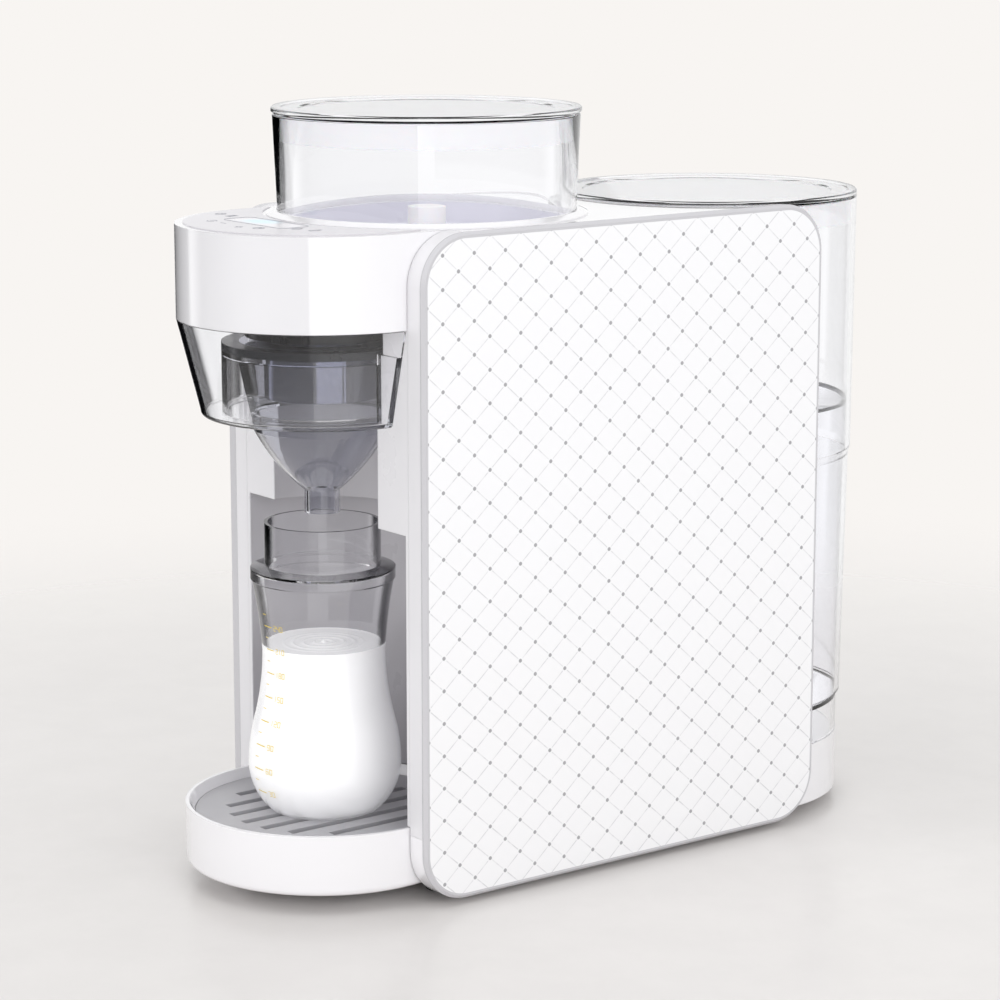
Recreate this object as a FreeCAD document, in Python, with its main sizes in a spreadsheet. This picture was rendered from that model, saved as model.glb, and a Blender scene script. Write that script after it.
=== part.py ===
import FreeCAD, Part
import math
import os

import Sketcher
from FreeCAD import Vector

# Baby formula maker: a powder hopper and a water tank over a round nose that holds a bottle.
# Frame: X across the machine, Y from the nose (negative) to the tank (positive), Z up.
# The origin lies on the table, under the middle of the machine. All lengths are in millimetres.

DIMENSIONS = (
    # widths and lengths of the body
    ("body_depth", 240.0, "length of the side panels, front to back"),
    ("tank_radius", 74.9, "outer radius of the water tank at its top"),
    ("tank_side_gap", 0.9, "gap between the tank and each cover panel"),
    ("frame_thickness", 9.5, "thickness of each side frame, across"),
    ("frame_web", 2.2, "wall left on the inside of each side frame"),
    ("frame_rim", 7.0, "width of the rim round each side frame's hollow"),
    ("right_cover", 2.3, "thickness of the right cover panel"),
    ("left_cover", 6.7, "thickness of the left cover panel"),
    ("cover_chamfer", 1.5, "chamfer round the outer face of a cover panel"),
    ("corner_radius", 24.0, "radius of the panels' four corners"),
    ("side_gap", 0.3, "gap between a loose piece and the side frames beside it"),
    ("nose_set", 1.5, "distance of the nose's axis in front of the side panels"),
    ("hopper_set", 60.9, "distance of the hopper's axis behind the nose's axis"),
    ("tank_set", 7.4, "distance of the tank's axis in front of the panels' rear edge"),
    # heights, from the table up
    ("foot_height", 4.5, "height of the rubber feet"),
    ("foot_radius", 8.0, "radius of a rubber foot"),
    ("foot_inset", 16.0, "distance of a foot's axis from the base's side and rear"),
    ("foot_front", 9.5, "distance of the front feet's axes behind the floor's front edge"),
    ("foot_nose", 32.0, "distance of the nose's foot in front of the nose's axis"),
    ("panel_lift", 3.0, "gap between the table and the side panels"),
    ("base_floor", 4.7, "thickness of the base's floor"),
    ("seat_gap", 0.3, "gap under a piece that stands loose on its seat"),
    ("tongue_inset", 20.0, "distance of the base's round tongue inside the tray's edge"),
    ("base_height", 34.6, "height of the joint between the base and the side frames"),
    ("tray_height", 28.6, "height of the drip tray"),
    ("grille_drop", 4.5, "depth of the grille below the tray's rim"),
    ("bottle_height", 137.1, "height of the bottle without its cap"),
    ("pour_gap", 4.6, "gap between the bottle's mouth and the funnel's nozzle"),
    ("recess_headroom", 3.1, "height of the recess above the bottle's mouth"),
    ("funnel_drop", 46.4, "height of the funnel below the drawer's floor"),
    ("drawer_height", 45.0, "height of the clear funnel drawer"),
    ("slide_gap", 0.4, "gap above a piece that slides out"),
    ("bay_wall_start", 22.0, "distance behind the nose's axis where the base's floor starts"),
    ("head_height", 43.3, "height of the white head over the drawer"),
    ("deck_thickness", 3.3, "thickness of the top deck"),
    # walls
    ("shell_wall", 2.4, "wall of the white moulded shells"),
    ("liner_wall", 1.8, "wall of the niche's lining"),
    ("clear_wall", 2.2, "wall of the clear moulded pieces"),
    ("overrun", 1.0, "how far a cut runs past the faces that it opens"),
    # niche
    ("channel_radius", 42.8, "radius of the upright channel behind the funnel"),
    ("skirt_gap", 1.5, "gap between the drawer's skirt and the lining round it"),
    # drip tray
    ("tray_edge_radius", 3.0, "rounding of the tray's lower edge"),
    ("tray_rim_width", 1.8, "flat width of the tray's rim"),
    ("tray_bevel", 2.7, "width of the bevel inside the tray's rim"),
    ("tray_ledge", 3.0, "width of the ledge that carries the grille"),
    ("grille_thickness", 2.0, "thickness of the grille"),
    ("grille_gap", 0.3, "gap round the grille"),
    ("slot_width", 5.0, "width of a grille slot"),
    ("slot_pitch", 13.2, "distance between grille slots"),
    ("slot_margin", 15.0, "rim of the grille without slots"),
    # drawer and funnel
    ("drawer_floor_radius", 55.5, "radius of the drawer's floor"),
    ("drawer_edge", 2.6, "rounding of the drawer's lower edge"),
    ("skirt_radius", 45.6, "outer radius of the drawer's inner skirt"),
    ("skirt_height", 28.2, "height of the drawer's inner skirt, floor included"),
    ("drawer_back_height", 33.0, "height of the drawer's back plates, floor included"),
    ("funnel_top_radius", 38.6, "outer radius of the funnel under its flange"),
    ("funnel_floor_radius", 32.6, "outer radius of the funnel where it leaves the drawer"),
    ("funnel_belly_drop", 7.0, "drop from the drawer's floor to the funnel's widest bend"),
    ("funnel_curve", 90.0, "radius of the curve from the bend to the nozzle"),
    ("nozzle_radius", 8.3, "outer radius of the funnel's nozzle"),
    ("nozzle_length", 10.5, "length of the funnel's nozzle"),
    ("funnel_gap", 0.5, "gap between the funnel and the hole in the drawer's floor"),
    ("flange_thickness", 2.6, "thickness of the funnel's flange"),
    ("ring_height", 3.6, "height of the slate ring on the funnel"),
    ("ring_width", 8.2, "width of the slate ring on the funnel"),
    ("cup_radius", 26.0, "outer radius of the tinted mixing cup"),
    ("cup_depth", 25.5, "depth of the tinted mixing cup"),
    ("cup_wall", 1.6, "wall of the tinted mixing cup"),
    ("cup_hole", 19.6, "radius of the hole in the mixing cup's floor"),
    # bottle
    ("bottle_wall", 1.6, "wall of the bottle"),
    ("bottle_foot_radius", 26.0, "radius of the bottle's flat foot"),
    ("bottle_foot_bend", 29.0, "radius of the curve from the bottle's foot to its belly"),
    ("bottle_belly_radius", 36.0, "largest radius of the bottle's belly"),
    ("bottle_belly_bend", 80.0, "radius of the curve above the belly"),
    ("bottle_belly_height", 22.0, "height of the belly's widest place"),
    ("bottle_turn_radius", 33.2, "radius where the curve above the belly turns hollow"),
    ("bottle_turn_height", 43.0, "height where the curve above the belly turns hollow"),
    ("bottle_turn_bend", 126.0, "radius of the hollow curve below the waist"),
    ("bottle_waist_radius", 28.8, "radius of the bottle's waist"),
    ("bottle_waist_height", 76.0, "height of the waist"),
    ("bottle_waist_bend", 256.0, "radius of the hollow curve above the waist"),
    ("bottle_shoulder_radius", 33.2, "radius under the bottle's bead"),
    ("bottle_shoulder_height", 110.0, "height of the bead's lower edge"),
    ("bottle_bead", 0.7, "how far the bead stands out"),
    ("bottle_bead_height", 5.6, "height of the bead"),
    ("bottle_neck_radius", 27.2, "outer radius of the bottle's neck"),
    # head
    ("overlay_margin", 4.0, "white rim round the control overlay"),
    ("overlay_thickness", 0.5, "thickness of the control overlay"),
    ("outlet_radius", 35.0, "outer radius of the outlet collar under the head"),
    ("outlet_bore", 14.0, "radius of the powder's way through the head's floor"),
    ("outlet_gap", 2.6, "gap between the outlet collar and the funnel's ring"),
    ("jet_radius", 5.0, "radius of the water jet"),
    ("jet_bore", 2.5, "radius of the water's way through the jet"),
    ("jet_offset", 22.0, "distance of the water jet to the left of the nose's axis"),
    ("display_offset", 4.0, "distance of the display to the left of the middle"),
    ("display_width", 44.0, "width of the display window"),
    ("display_depth", 13.0, "depth of the display window, front to back"),
    ("display_set", 39.6, "distance of the display behind the head's front"),
    ("board_width", 66.0, "width of the control board"),
    ("board_depth", 29.7, "depth of the control board, front to back"),
    ("board_set", 46.2, "distance of the control board's rear edge behind the head's front"),
    ("board_thickness", 1.6, "thickness of the circuit boards"),
    ("board_post", 6.0, "length of the posts that carry the circuit boards"),
    # hopper
    ("collar_width", 5.3, "width of the raised collar round the hopper"),
    ("collar_wall", 1.5, "wall of the collar where it passes the deck"),
    ("collar_rise", 2.3, "height of the collar above the deck"),
    ("collar_edge", 0.6, "height of the collar's outer edge above the deck"),
    ("collar_ledge", 1.7, "depth of the hopper's seat below the deck"),
    ("fit_gap", 0.35, "gap round pieces that lift out"),
    ("hopper_wall_height", 48.0, "height of the hopper's clear wall"),
    ("hopper_flare", 2.0, "how much wider the hopper is at its top"),
    ("hopper_wall", 1.8, "wall of the hopper"),
    ("bowl_radius", 57.5, "outer radius of the hopper's bowl at its floor"),
    ("bowl_depth", 27.0, "depth of the hopper's bowl below its seat"),
    ("bowl_cone", 12.0, "height of the conical part of the bowl"),
    ("bowl_wall", 2.0, "wall of the hopper's bowl"),
    ("lid_overhang", 0.6, "how far the hopper's lid stands out past its wall"),
    ("lid_thickness", 3.2, "thickness of a lid's rim"),
    ("lid_step", 4.2, "width of the lid's rim outside its first step"),
    ("lid_shelf", 8.4, "width between the lid's two steps"),
    ("lid_sink", 1.2, "depth of each step in a lid"),
    ("seal_height", 12.0, "height of a lid's inner seal ring"),
    ("seal_width", 2.6, "width of a lid's inner seal ring"),
    ("wheel_thickness", 7.0, "thickness of the dosing wheel"),
    ("wheel_gap", 0.5, "gap round and under the dosing wheel"),
    ("wheel_pockets", 5, "powder pockets in the dosing wheel"),
    ("outlet_offset", 11.5, "distance of the powder outlet's axis from the inside of the bowl"),
    ("outlet_hole", 8.0, "radius of the powder outlet in the hopper's floor"),
    ("hub_radius", 8.9, "radius of the agitator's hub"),
    ("hub_height", 33.0, "height of the agitator's hub above the hopper's floor"),
    ("arm_reach", 51.5, "length of each agitator arm from the axis"),
    ("arm_width", 4.0, "width of the agitator's arms"),
    ("arm_height", 3.0, "height of the agitator's arms"),
    ("dog_radius", 5.0, "corner radius of the hexagonal drive dog"),
    ("dog_gap", 0.4, "gap between the drive dog and its socket"),
    ("dog_length", 12.0, "length of the drive dog above the hopper's floor"),
    # drive
    ("gear_module", 2.0, "module of the dosing drive"),
    ("gear_thickness", 5.0, "thickness of the drive gear"),
    ("gear_backlash", 0.35, "backlash between the gear and the pinion"),
    ("motor_radius", 17.0, "radius of the dosing motor"),
    ("motor_height", 46.0, "height of the dosing motor"),
    ("gear_clearance", 3.0, "gap between the drive gear and the hopper's floor"),
    ("gear_addendum", 0.9, "height of a tooth above the pitch circle, in modules"),
    ("gear_dedendum", 1.25, "depth of a tooth below the pitch circle, in modules"),
    ("pressure_angle", 20.0, "pressure angle of the gears, in degrees"),
    ("gear_teeth", 30, "teeth of the drive gear"),
    ("pinion_teeth", 10, "teeth of the motor pinion"),
    ("shaft_radius", 4.0, "radius of the drive gear's shaft"),
    ("motor_shaft_radius", 2.0, "radius of the motor's shaft"),
    ("motor_shaft_depth", 10.0, "length of the motor's shaft inside the motor"),
    ("plate_margin", 25.5, "distance of the gear plate's rear edge behind the motor's axis"),
    ("running_gap", 0.06, "gap between a shaft and its bearing"),
    # tank
    ("tank_waist_radius", 73.2, "outer radius of the tank below its step"),
    ("tank_step", 1.0, "width of the tank's step at half height"),
    ("tank_step_rise", 4.0, "height of the tank's step"),
    ("tank_shoulder", 1.5, "height of the shoulder above the tank's foot"),
    ("tank_step_height", 124.0, "height of the step above the tank's foot"),
    ("tank_foot_radius", 69.6, "outer radius of the tank's foot"),
    ("tank_low_radius", 71.2, "outer radius of the tank above its foot"),
    ("tank_foot_height", 19.0, "height of the tank's foot"),
    ("tank_lid_rise", 1.3, "how far the tank's lid stands above the deck"),
    ("pedestal_radius", 69.8, "radius of the round pedestal under the tank"),
    ("pedestal_top", 35.9, "height of the pedestal's top"),
    ("pedestal_bottom", 5.9, "height of the pedestal's lower edge"),
    ("port_radius", 11.0, "outer radius of the tank's port"),
    ("port_bore", 8.0, "bore of the tank's port"),
    ("valve_travel", 3.0, "travel of the tank's valve"),
    ("port_flange", 1.2, "thickness of the port's flange and of its seal"),
    ("port_lip", 2.6, "width of the valve's seat in the port"),
    ("valve_stem", 1.7, "radius of the valve's stem"),
    ("valve_gap", 0.6, "gap round the valve's head"),
    ("cage_hole", 1.2, "radius of the holes in the valve's cage"),
    ("valve_pin", 1.2, "radius of the fixed pin under the valve"),
    ("spring_wire", 0.5, "radius of the valve spring's wire"),
    ("spring_radius", 4.25, "radius of the valve spring's coil"),
    ("spring_turns", 4, "turns of the valve spring"),
    ("spring_gap", 0.1, "gap at each end of the valve spring"),
    ("hose_radius", 4.0, "outer radius of the water hoses"),
    ("hose_wall", 1.2, "wall of the water hoses"),
    ("hose_bend", 8.0, "radius of the bends in the water hoses"),
    ("spigot_length", 4.0, "length of the spigots that the hoses are pushed on"),
    ("spigot_wall", 1.0, "wall of the spigots"),
    # inside
    ("inlet_width", 22.0, "width of the power inlet"),
    ("inlet_height", 15.0, "height of the power inlet"),
    ("inlet_depth", 16.2, "depth of the power inlet"),
    ("pump_set", 49.35, "distance of the pump's axis in front of the wall before the tank"),
    ("pump_offset", 33.0, "distance of the pump and of the heater from the middle, across"),
    ("pump_radius", 17.0, "radius of the water pump"),
    ("pump_height", 48.0, "height of the water pump"),
    ("heater_radius", 14.0, "radius of the flow heater"),
    ("heater_height", 110.0, "height of the flow heater"),
    ("heater_lift", 82.0, "height of the flow heater's lower end"),
    ("hose_room", 4.0, "room round the supply hose in the wall before the tank"),
    ("hose_side", 12.8, "distance of the jet's hose from the left side frame"),
    ("hose_set", 20.0, "distance of the jet's hose behind the hopper's axis"),
    ("hose_rise", 20.0, "height of each step in the jet's hose above the heater"),
    ("hose_lead", 24.0, "straight length of the supply hose before the pump"),
    ("power_board_width", 54.0, "width of the power board"),
    ("power_board_depth", 47.6, "depth of the power board, front to back"),
    ("power_board_set", 17.3, "distance of the power board behind the drip tray"),
    ("transformer_width", 21.2, "width of the transformer"),
    ("transformer_depth", 19.5, "depth of the transformer, front to back"),
    ("transformer_height", 17.0, "height of the transformer"),
    ("screw_radius", 1.6, "radius of a screw"),
    ("screw_length", 5.0, "length of a screw under its head"),
    ("screw_head", 1.8, "height of a screw's head"),
    ("post_radius", 3.2, "radius of a post and of a screw's head"),
    ("post_inset", 4.8, "distance of a post's axis from the control board's edges"),
)


class Size:
    """A length, as its number and as the sheet expression that gives it."""

    def __init__(self, value, text):
        self.value = value
        self.text = text

    def __add__(self, other):
        other = as_size(other)
        return Size(self.value + other.value, f"({self.text} + {other.text})")

    def __radd__(self, other):
        return as_size(other) + self

    def __sub__(self, other):
        other = as_size(other)
        return Size(self.value - other.value, f"({self.text} - {other.text})")

    def __rsub__(self, other):
        return as_size(other) - self

    def __mul__(self, factor):
        factor = as_size(factor)
        return Size(self.value * factor.value, f"({self.text} * {factor.text})")

    def __rmul__(self, factor):
        return self * factor

    def __truediv__(self, divisor):
        divisor = as_size(divisor)
        return Size(self.value / divisor.value, f"({self.text} / {divisor.text})")

    def __neg__(self):
        return 0 - self


def as_size(number):
    """A Size, also from a plain number."""
    if isinstance(number, Size):
        return number
    return Size(float(number), repr(float(number)))


def larger(first, second):
    """The larger of two lengths."""
    first = as_size(first)
    second = as_size(second)
    return Size(max(first.value, second.value), f"max({first.text}; {second.text})")


def root(size):
    """The square root of an area, as a length."""
    return Size(math.sqrt(size.value), f"sqrt({size.text})")


class Sheet:
    """The driving dimensions, read by name."""

    def __init__(self, document):
        cells = document.addObject("Spreadsheet::Sheet", "dims")
        for row, (name, value, note) in enumerate(DIMENSIONS, start=1):
            cells.set(f"A{row}", name)
            cells.set(f"B{row}", str(value))
            cells.set(f"C{row}", note)
            cells.setAlias(f"B{row}", name)
            setattr(self, name, Size(value, f"dims.{name}"))


doc = FreeCAD.newDocument("formula_maker")
d = Sheet(doc)
doc.recompute()
nodes = []

# places that several pieces share ---------------------------------------------------------------

panel_front = -d.body_depth / 2
panel_rear = d.body_depth / 2
tank_body_radius = larger(d.tank_waist_radius + d.tank_step, d.tank_foot_radius)
tank_reach = larger(d.tank_radius, tank_body_radius)
frame_outer = tank_reach + d.tank_side_gap
inner_half = frame_outer - d.frame_thickness
nose_radius = inner_half - d.side_gap
nose_y = panel_front - d.nose_set
hopper_y = nose_y + d.hopper_set
tank_y = panel_rear - d.tank_set

floor_top = d.foot_height + d.base_floor
tray_bottom = floor_top + d.seat_gap
tray_rim = tray_bottom + d.tray_height
grille_top = tray_rim - d.grille_drop
bottle_foot = grille_top + d.seat_gap
bottle_mouth = bottle_foot + d.bottle_height
nozzle_bottom = bottle_mouth + d.pour_gap
recess_top = bottle_mouth + d.recess_headroom
drawer_bottom = nozzle_bottom + d.funnel_drop
drawer_top = drawer_bottom + d.drawer_height
head_bottom = drawer_top + d.slide_gap
deck_top = head_bottom + d.head_height
deck_bottom = deck_top - d.deck_thickness
head_floor_top = head_bottom + d.shell_wall

collar_outer = frame_outer - d.side_gap
collar_inner = collar_outer - d.collar_width
hopper_radius = collar_inner - d.fit_gap
hopper_seat = deck_top - d.collar_ledge
bowl_rim_radius = hopper_radius - d.hopper_wall
bowl_neck_radius = inner_half - d.side_gap - d.fit_gap
hopper_floor = hopper_seat - d.bowl_depth
hopper_top = hopper_seat + d.hopper_wall_height
tank_top = deck_top + d.tank_lid_rise - d.lid_thickness
pocket_radius = tank_reach + d.fit_gap
bay_wall_front = tank_y - pocket_radius - d.shell_wall
head_front = nose_y - nose_radius
head_back = panel_front + d.corner_radius


# building blocks --------------------------------------------------------------------------------

def bind(item, path, size):
    """Drive one property of an object by the sheet."""
    item.setExpression(path, as_size(size).text)


def place(item, x=0, y=0, z=0):
    """Set an object's position from sizes."""
    for axis, size in zip("xyz", (x, y, z)):
        bind(item, f"Placement.Base.{axis}", size)
    return item


def box(x_low, x_high, y_low, y_high, z_low, z_high):
    """A block between six planes."""
    block = doc.addObject("Part::Box", "block")
    bind(block, "Length", x_high - x_low)
    bind(block, "Width", y_high - y_low)
    bind(block, "Height", z_high - z_low)
    return place(block, x_low, y_low, z_low)


def cylinder(radius, z_low, z_high, x=0, y=0):
    """An upright cylinder."""
    rod = doc.addObject("Part::Cylinder", "rod")
    bind(rod, "Radius", radius)
    bind(rod, "Height", z_high - z_low)
    return place(rod, x, y, z_low)


def level_rod(radius, near, far, axis, x, y, z):
    """A level cylinder along X or Y, from near to far along its axis, through a point."""
    rod = doc.addObject("Part::Cylinder", "rod")
    bind(rod, "Radius", radius)
    bind(rod, "Height", far - near)
    rod.Placement.Rotation = FreeCAD.Rotation(Vector(0, 0, 1), axis)
    if axis.x:
        return place(rod, near, y, z)
    return place(rod, x, near, z)


def hexagon(radius, z_low, z_high, x=0, y=0):
    """An upright hexagonal prism, measured to its corners."""
    prism = doc.addObject("Part::Prism", "prism")
    prism.Polygon = 6
    bind(prism, "Circumradius", radius)
    bind(prism, "Height", z_high - z_low)
    return place(prism, x, y, z_low)


def fuse(*pieces):
    """One solid from several that touch or overlap."""
    union = doc.addObject("Part::MultiFuse", "union")
    union.Shapes = list(pieces)
    union.Refine = False
    return union


def cut(base, *tools):
    """A solid with others taken away."""
    difference = doc.addObject("Part::Cut", "difference")
    difference.Base = base
    difference.Tool = tools[0] if len(tools) == 1 else fuse(*tools)
    difference.Refine = True
    return difference


def common(base, tool):
    """What two solids share."""
    shared = doc.addObject("Part::Common", "shared")
    shared.Base = base
    shared.Tool = tool
    return shared


def group(*pieces):
    """Separate solids kept in one sub-part."""
    compound = doc.addObject("Part::Compound", "group")
    compound.Links = list(pieces)
    return compound


def keep(name, piece):
    """Name a finished sub-part."""
    piece.Label = name
    nodes.append(piece)
    return piece


def shape_piece(shape):
    """A sub-part whose shape is made in code."""
    feature = doc.addObject("Part::Feature", "shaped")
    feature.Shape = shape
    return feature


def origin_plane(body, role):
    """One of a body's own origin planes."""
    return next(item for item in body.Origin.OriginFeatures if item.Role == role)


def arc_middle(start, end, radius):
    """The middle of an arc; a positive radius bulges to the right of the way from start to end."""
    chord = end - start
    side = Vector(chord.y, -chord.x, 0).normalize()
    half = chord.Length / 2
    rise = abs(radius) - math.sqrt(radius * radius - half * half)
    return (start + end) / 2 + side * math.copysign(rise, radius)


def outline(body, role, corners):
    """A closed sketch whose corners are bound to the sheet.

    A corner is (across, up), or (across, up, radius) where an arc leads on to the next corner.
    """
    sketch = body.newObject("Sketcher::SketchObject", "outline")
    sketch.AttachmentSupport = [(origin_plane(body, role), "")]
    sketch.MapMode = "FlatFace"
    sizes = [(as_size(corner[0]), as_size(corner[1])) for corner in corners]
    points = [Vector(across.value, up.value, 0) for across, up in sizes]
    count = len(corners)
    ends = []
    for index, corner in enumerate(corners):
        start = points[index]
        end = points[(index + 1) % count]
        if len(corner) == 3:
            middle = arc_middle(start, end, as_size(corner[2]).value)
            sketch.addGeometry(Part.Arc(start, middle, end))
            flipped = sketch.getPoint(index, 1).distanceToPoint(start) > 1e-6
        else:
            sketch.addGeometry(Part.LineSegment(start, end))
            flipped = False
        ends.append((2, 1) if flipped else (1, 2))
    for index in range(count):
        following = (index + 1) % count
        sketch.addConstraint(
            Sketcher.Constraint("Coincident", index, ends[index][1], following, ends[following][0])
        )
    for index, corner in enumerate(corners):
        for kind, size in zip(("DistanceX", "DistanceY"), sizes[index]):
            held = Sketcher.Constraint(kind, -1, 1, index, ends[index][0], size.value)
            number = sketch.addConstraint(held)
            sketch.setExpression(f"Constraints[{number}]", size.text)
        if len(corner) == 3:
            bend = as_size(corner[2])
            bend = bend if bend.value > 0 else -bend
            number = sketch.addConstraint(Sketcher.Constraint("Radius", index, bend.value))
            sketch.setExpression(f"Constraints[{number}]", bend.text)
    return sketch


def turned(corners, x=0, y=0):
    """A body turned about an upright axis; corners are (radius, height)."""
    body = doc.addObject("PartDesign::Body", "turned")
    sketch = outline(body, "XZ_Plane", corners)
    turning = body.newObject("PartDesign::Revolution", "turning")
    turning.Profile = sketch
    turning.ReferenceAxis = (sketch, ["V_Axis"])
    turning.Angle = 360
    return place(body, x, y)


def padded(role, corners, length):
    """A body made by padding an outline on one of its origin planes."""
    body = doc.addObject("PartDesign::Body", "padded")
    pad = body.newObject("PartDesign::Pad", "pad")
    pad.Profile = outline(body, role, corners)
    bind(pad, "Length", length)
    return body


def rectangle(x_low, x_high, y_low, y_high):
    """The four corners of a rectangle."""
    return [(x_low, y_low), (x_high, y_low), (x_high, y_high), (x_low, y_high)]


def fillet_along(body, direction, radius):
    """Round every straight edge of a body that runs along a direction."""
    doc.recompute()
    base = body.Tip
    names = []
    for number, edge in enumerate(base.Shape.Edges, start=1):
        straight = isinstance(edge.Curve, Part.Line)
        if straight and abs(abs(edge.Curve.Direction.dot(direction)) - 1) < 1e-6:
            names.append(f"Edge{number}")
    rounding = body.newObject("PartDesign::Fillet", "rounding")
    rounding.Base = (base, names)
    bind(rounding, "Radius", radius)
    return body


def rounded_panel(x_low, thickness, inset=0, radius=d.corner_radius):
    """An upright panel across X with the machine's side outline, inset all round."""
    corners = rectangle(
        panel_front + inset, panel_rear - inset, d.panel_lift + inset, deck_top - inset
    )
    body = padded("YZ_Plane", corners, thickness)
    fillet_along(body, Vector(1, 0, 0), radius)
    return place(body, x_low)


def ring(outer, inner, z_low, z_high, x=0, y=0):
    """A flat ring with square edges."""
    corners = [(inner, z_low), (outer, z_low), (outer, z_high), (inner, z_high)]
    return turned(corners, x, y)


# base -------------------------------------------------------------------------------------------

everywhere = d.body_depth * 2
inlet_middle = (floor_top + d.pedestal_top - d.shell_wall) / 2
floor_front = nose_y + d.bay_wall_start
inlet_rear = tank_y + d.pedestal_radius - d.shell_wall / 2
inlet_front = inlet_rear - d.inlet_depth


def make_base():
    """The tub under the machine: floor, side skirts, tongue under the nose and round pedestal."""
    floor = box(-inner_half, inner_half, floor_front, tank_y, d.foot_height, floor_top)
    tongue = cylinder(nose_radius - d.tongue_inset, d.foot_height, floor_top, y=nose_y)
    below_joint = box(
        -everywhere, everywhere, -everywhere, everywhere, 0, d.base_height
    )
    skirts = [
        common(rounded_panel(x_low, d.frame_thickness), below_joint)
        for x_low in (inner_half, -frame_outer)
    ]
    pedestal = cylinder(d.pedestal_radius, d.pedestal_bottom, d.pedestal_top, y=tank_y)
    hollow = cylinder(
        d.pedestal_radius - d.shell_wall, floor_top, d.pedestal_top - d.shell_wall, y=tank_y
    )
    passage = box(
        -inner_half / 2, inner_half / 2, 0, tank_y, floor_top, d.pedestal_top - d.shell_wall
    )
    port_hole = cylinder(d.port_bore + d.fit_gap, floor_top, everywhere, y=tank_y)
    inlet_hole = box(
        -d.inlet_width / 2,
        d.inlet_width / 2,
        inlet_front,
        everywhere,
        inlet_middle - d.inlet_height / 2,
        inlet_middle + d.inlet_height / 2,
    )
    bay_radius = nose_radius + d.side_gap
    bay_wall = ring(
        bay_radius + d.shell_wall, bay_radius, floor_top, tray_rim + d.shell_wall, y=nose_y
    )
    behind = box(-inner_half, inner_half, floor_front, everywhere, 0, everywhere)
    body = cut(fuse(floor, tongue, pedestal, *skirts), hollow, passage, port_hole, inlet_hole)
    keep("base_shell", fuse(body, common(bay_wall, behind)))


def make_feet():
    """Five rubber feet, one of them under the nose."""
    places = [
        (side * (inner_half - d.foot_inset), y)
        for side in (-1, 1)
        for y in (floor_front + d.foot_front, tank_y - d.foot_inset)
    ]
    places.append((0, nose_y - d.foot_nose))
    feet = [cylinder(d.foot_radius, 0, d.foot_height, x, y) for x, y in places]
    keep("rubber_feet", group(*feet))


# side frames and covers -------------------------------------------------------------------------

def make_frame(name, x_low, web_low):
    """A side frame: a rounded rim and a thin web, hollow on the cover's side, open for the tank."""
    whole = rounded_panel(x_low, d.frame_thickness)
    hollow = rounded_panel(
        web_low,
        d.frame_thickness - d.frame_web,
        d.frame_rim,
        d.corner_radius - d.frame_rim,
    )
    lower = box(-everywhere, everywhere, -everywhere, everywhere, 0, d.base_height)
    notch = box(
        -everywhere,
        everywhere,
        head_back,
        everywhere,
        deck_bottom,
        everywhere,
    )
    pocket = cylinder(pocket_radius, 0, everywhere, y=tank_y)
    behind = box(
        -everywhere, everywhere, panel_rear - d.corner_radius, everywhere, 0, everywhere
    )
    keep(name, cut(whole, hollow, lower, notch, pocket, behind))


def make_cover(name, x_low, thickness, outer_face):
    """A cover panel whose outer face, at this height above its inner one, has a chamfered edge."""
    body = rounded_panel(x_low, thickness)
    doc.recompute()
    base = body.Tip
    names = []
    for number, edge in enumerate(base.Shape.Edges, start=1):
        across = edge.BoundBox
        if abs(across.XMin - outer_face) + abs(across.XMax - outer_face) < 1e-4:
            names.append(f"Edge{number}")
    bevel = body.newObject("PartDesign::Chamfer", "bevel")
    bevel.Base = (base, names)
    bind(bevel, "Size", d.cover_chamfer)
    keep(name, body)


def make_sides():
    """Both side frames and both cover panels."""
    make_frame("side_frame_right", inner_half, inner_half + d.frame_web)
    make_frame("side_frame_left", -frame_outer, -frame_outer)
    make_cover("cover_panel_right", frame_outer, d.right_cover, d.right_cover.value)
    make_cover("cover_panel_left", -frame_outer - d.left_cover, d.left_cover, 0.0)


# niche ------------------------------------------------------------------------------------------

skirt_pocket = d.skirt_radius + d.skirt_gap
recess_radius = nose_radius - d.liner_wall
shelf_z = drawer_bottom - d.seat_gap


def make_liner():
    """The niche's lining: a round recess for the bottle with an upright channel above it."""
    wall = d.liner_wall
    low = tray_rim + d.slide_gap
    high = head_bottom
    profile = [
        (recess_radius, low),
        (inner_half, low),
        (inner_half, recess_top + wall),
        (d.channel_radius + wall, recess_top + wall),
        (d.channel_radius + wall, shelf_z - wall),
        (skirt_pocket + wall, shelf_z - wall),
        (skirt_pocket + wall, high),
        (skirt_pocket, high),
        (skirt_pocket, shelf_z),
        (d.channel_radius, shelf_z),
        (d.channel_radius, recess_top),
        (recess_radius, recess_top),
    ]
    behind_front = box(-everywhere, everywhere, panel_front, everywhere, 0, everywhere)
    shell = common(turned(profile, y=nose_y), behind_front)
    face = box(-inner_half, inner_half, panel_front, panel_front + wall, recess_top, high)
    openings = (
        cylinder(d.channel_radius, 0, shelf_z + wall, y=nose_y),
        cylinder(skirt_pocket, shelf_z, everywhere, y=nose_y),
    )
    keep("niche_liner", fuse(shell, cut(face, *openings)))


def make_bay_wall():
    """The upright wall behind the machinery, round the front of the tank."""
    wall = ring(pocket_radius + d.shell_wall, pocket_radius, floor_top, deck_bottom, y=tank_y)
    between = box(-inner_half, inner_half, -everywhere, tank_y, 0, everywhere)
    clear = d.hose_radius + d.hose_room
    hose_way = box(-clear, clear, 0, tank_y, 0, inlet_middle + clear)
    keep("tank_bay_wall", cut(common(wall, between), hose_way))


# drip tray --------------------------------------------------------------------------------------

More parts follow.
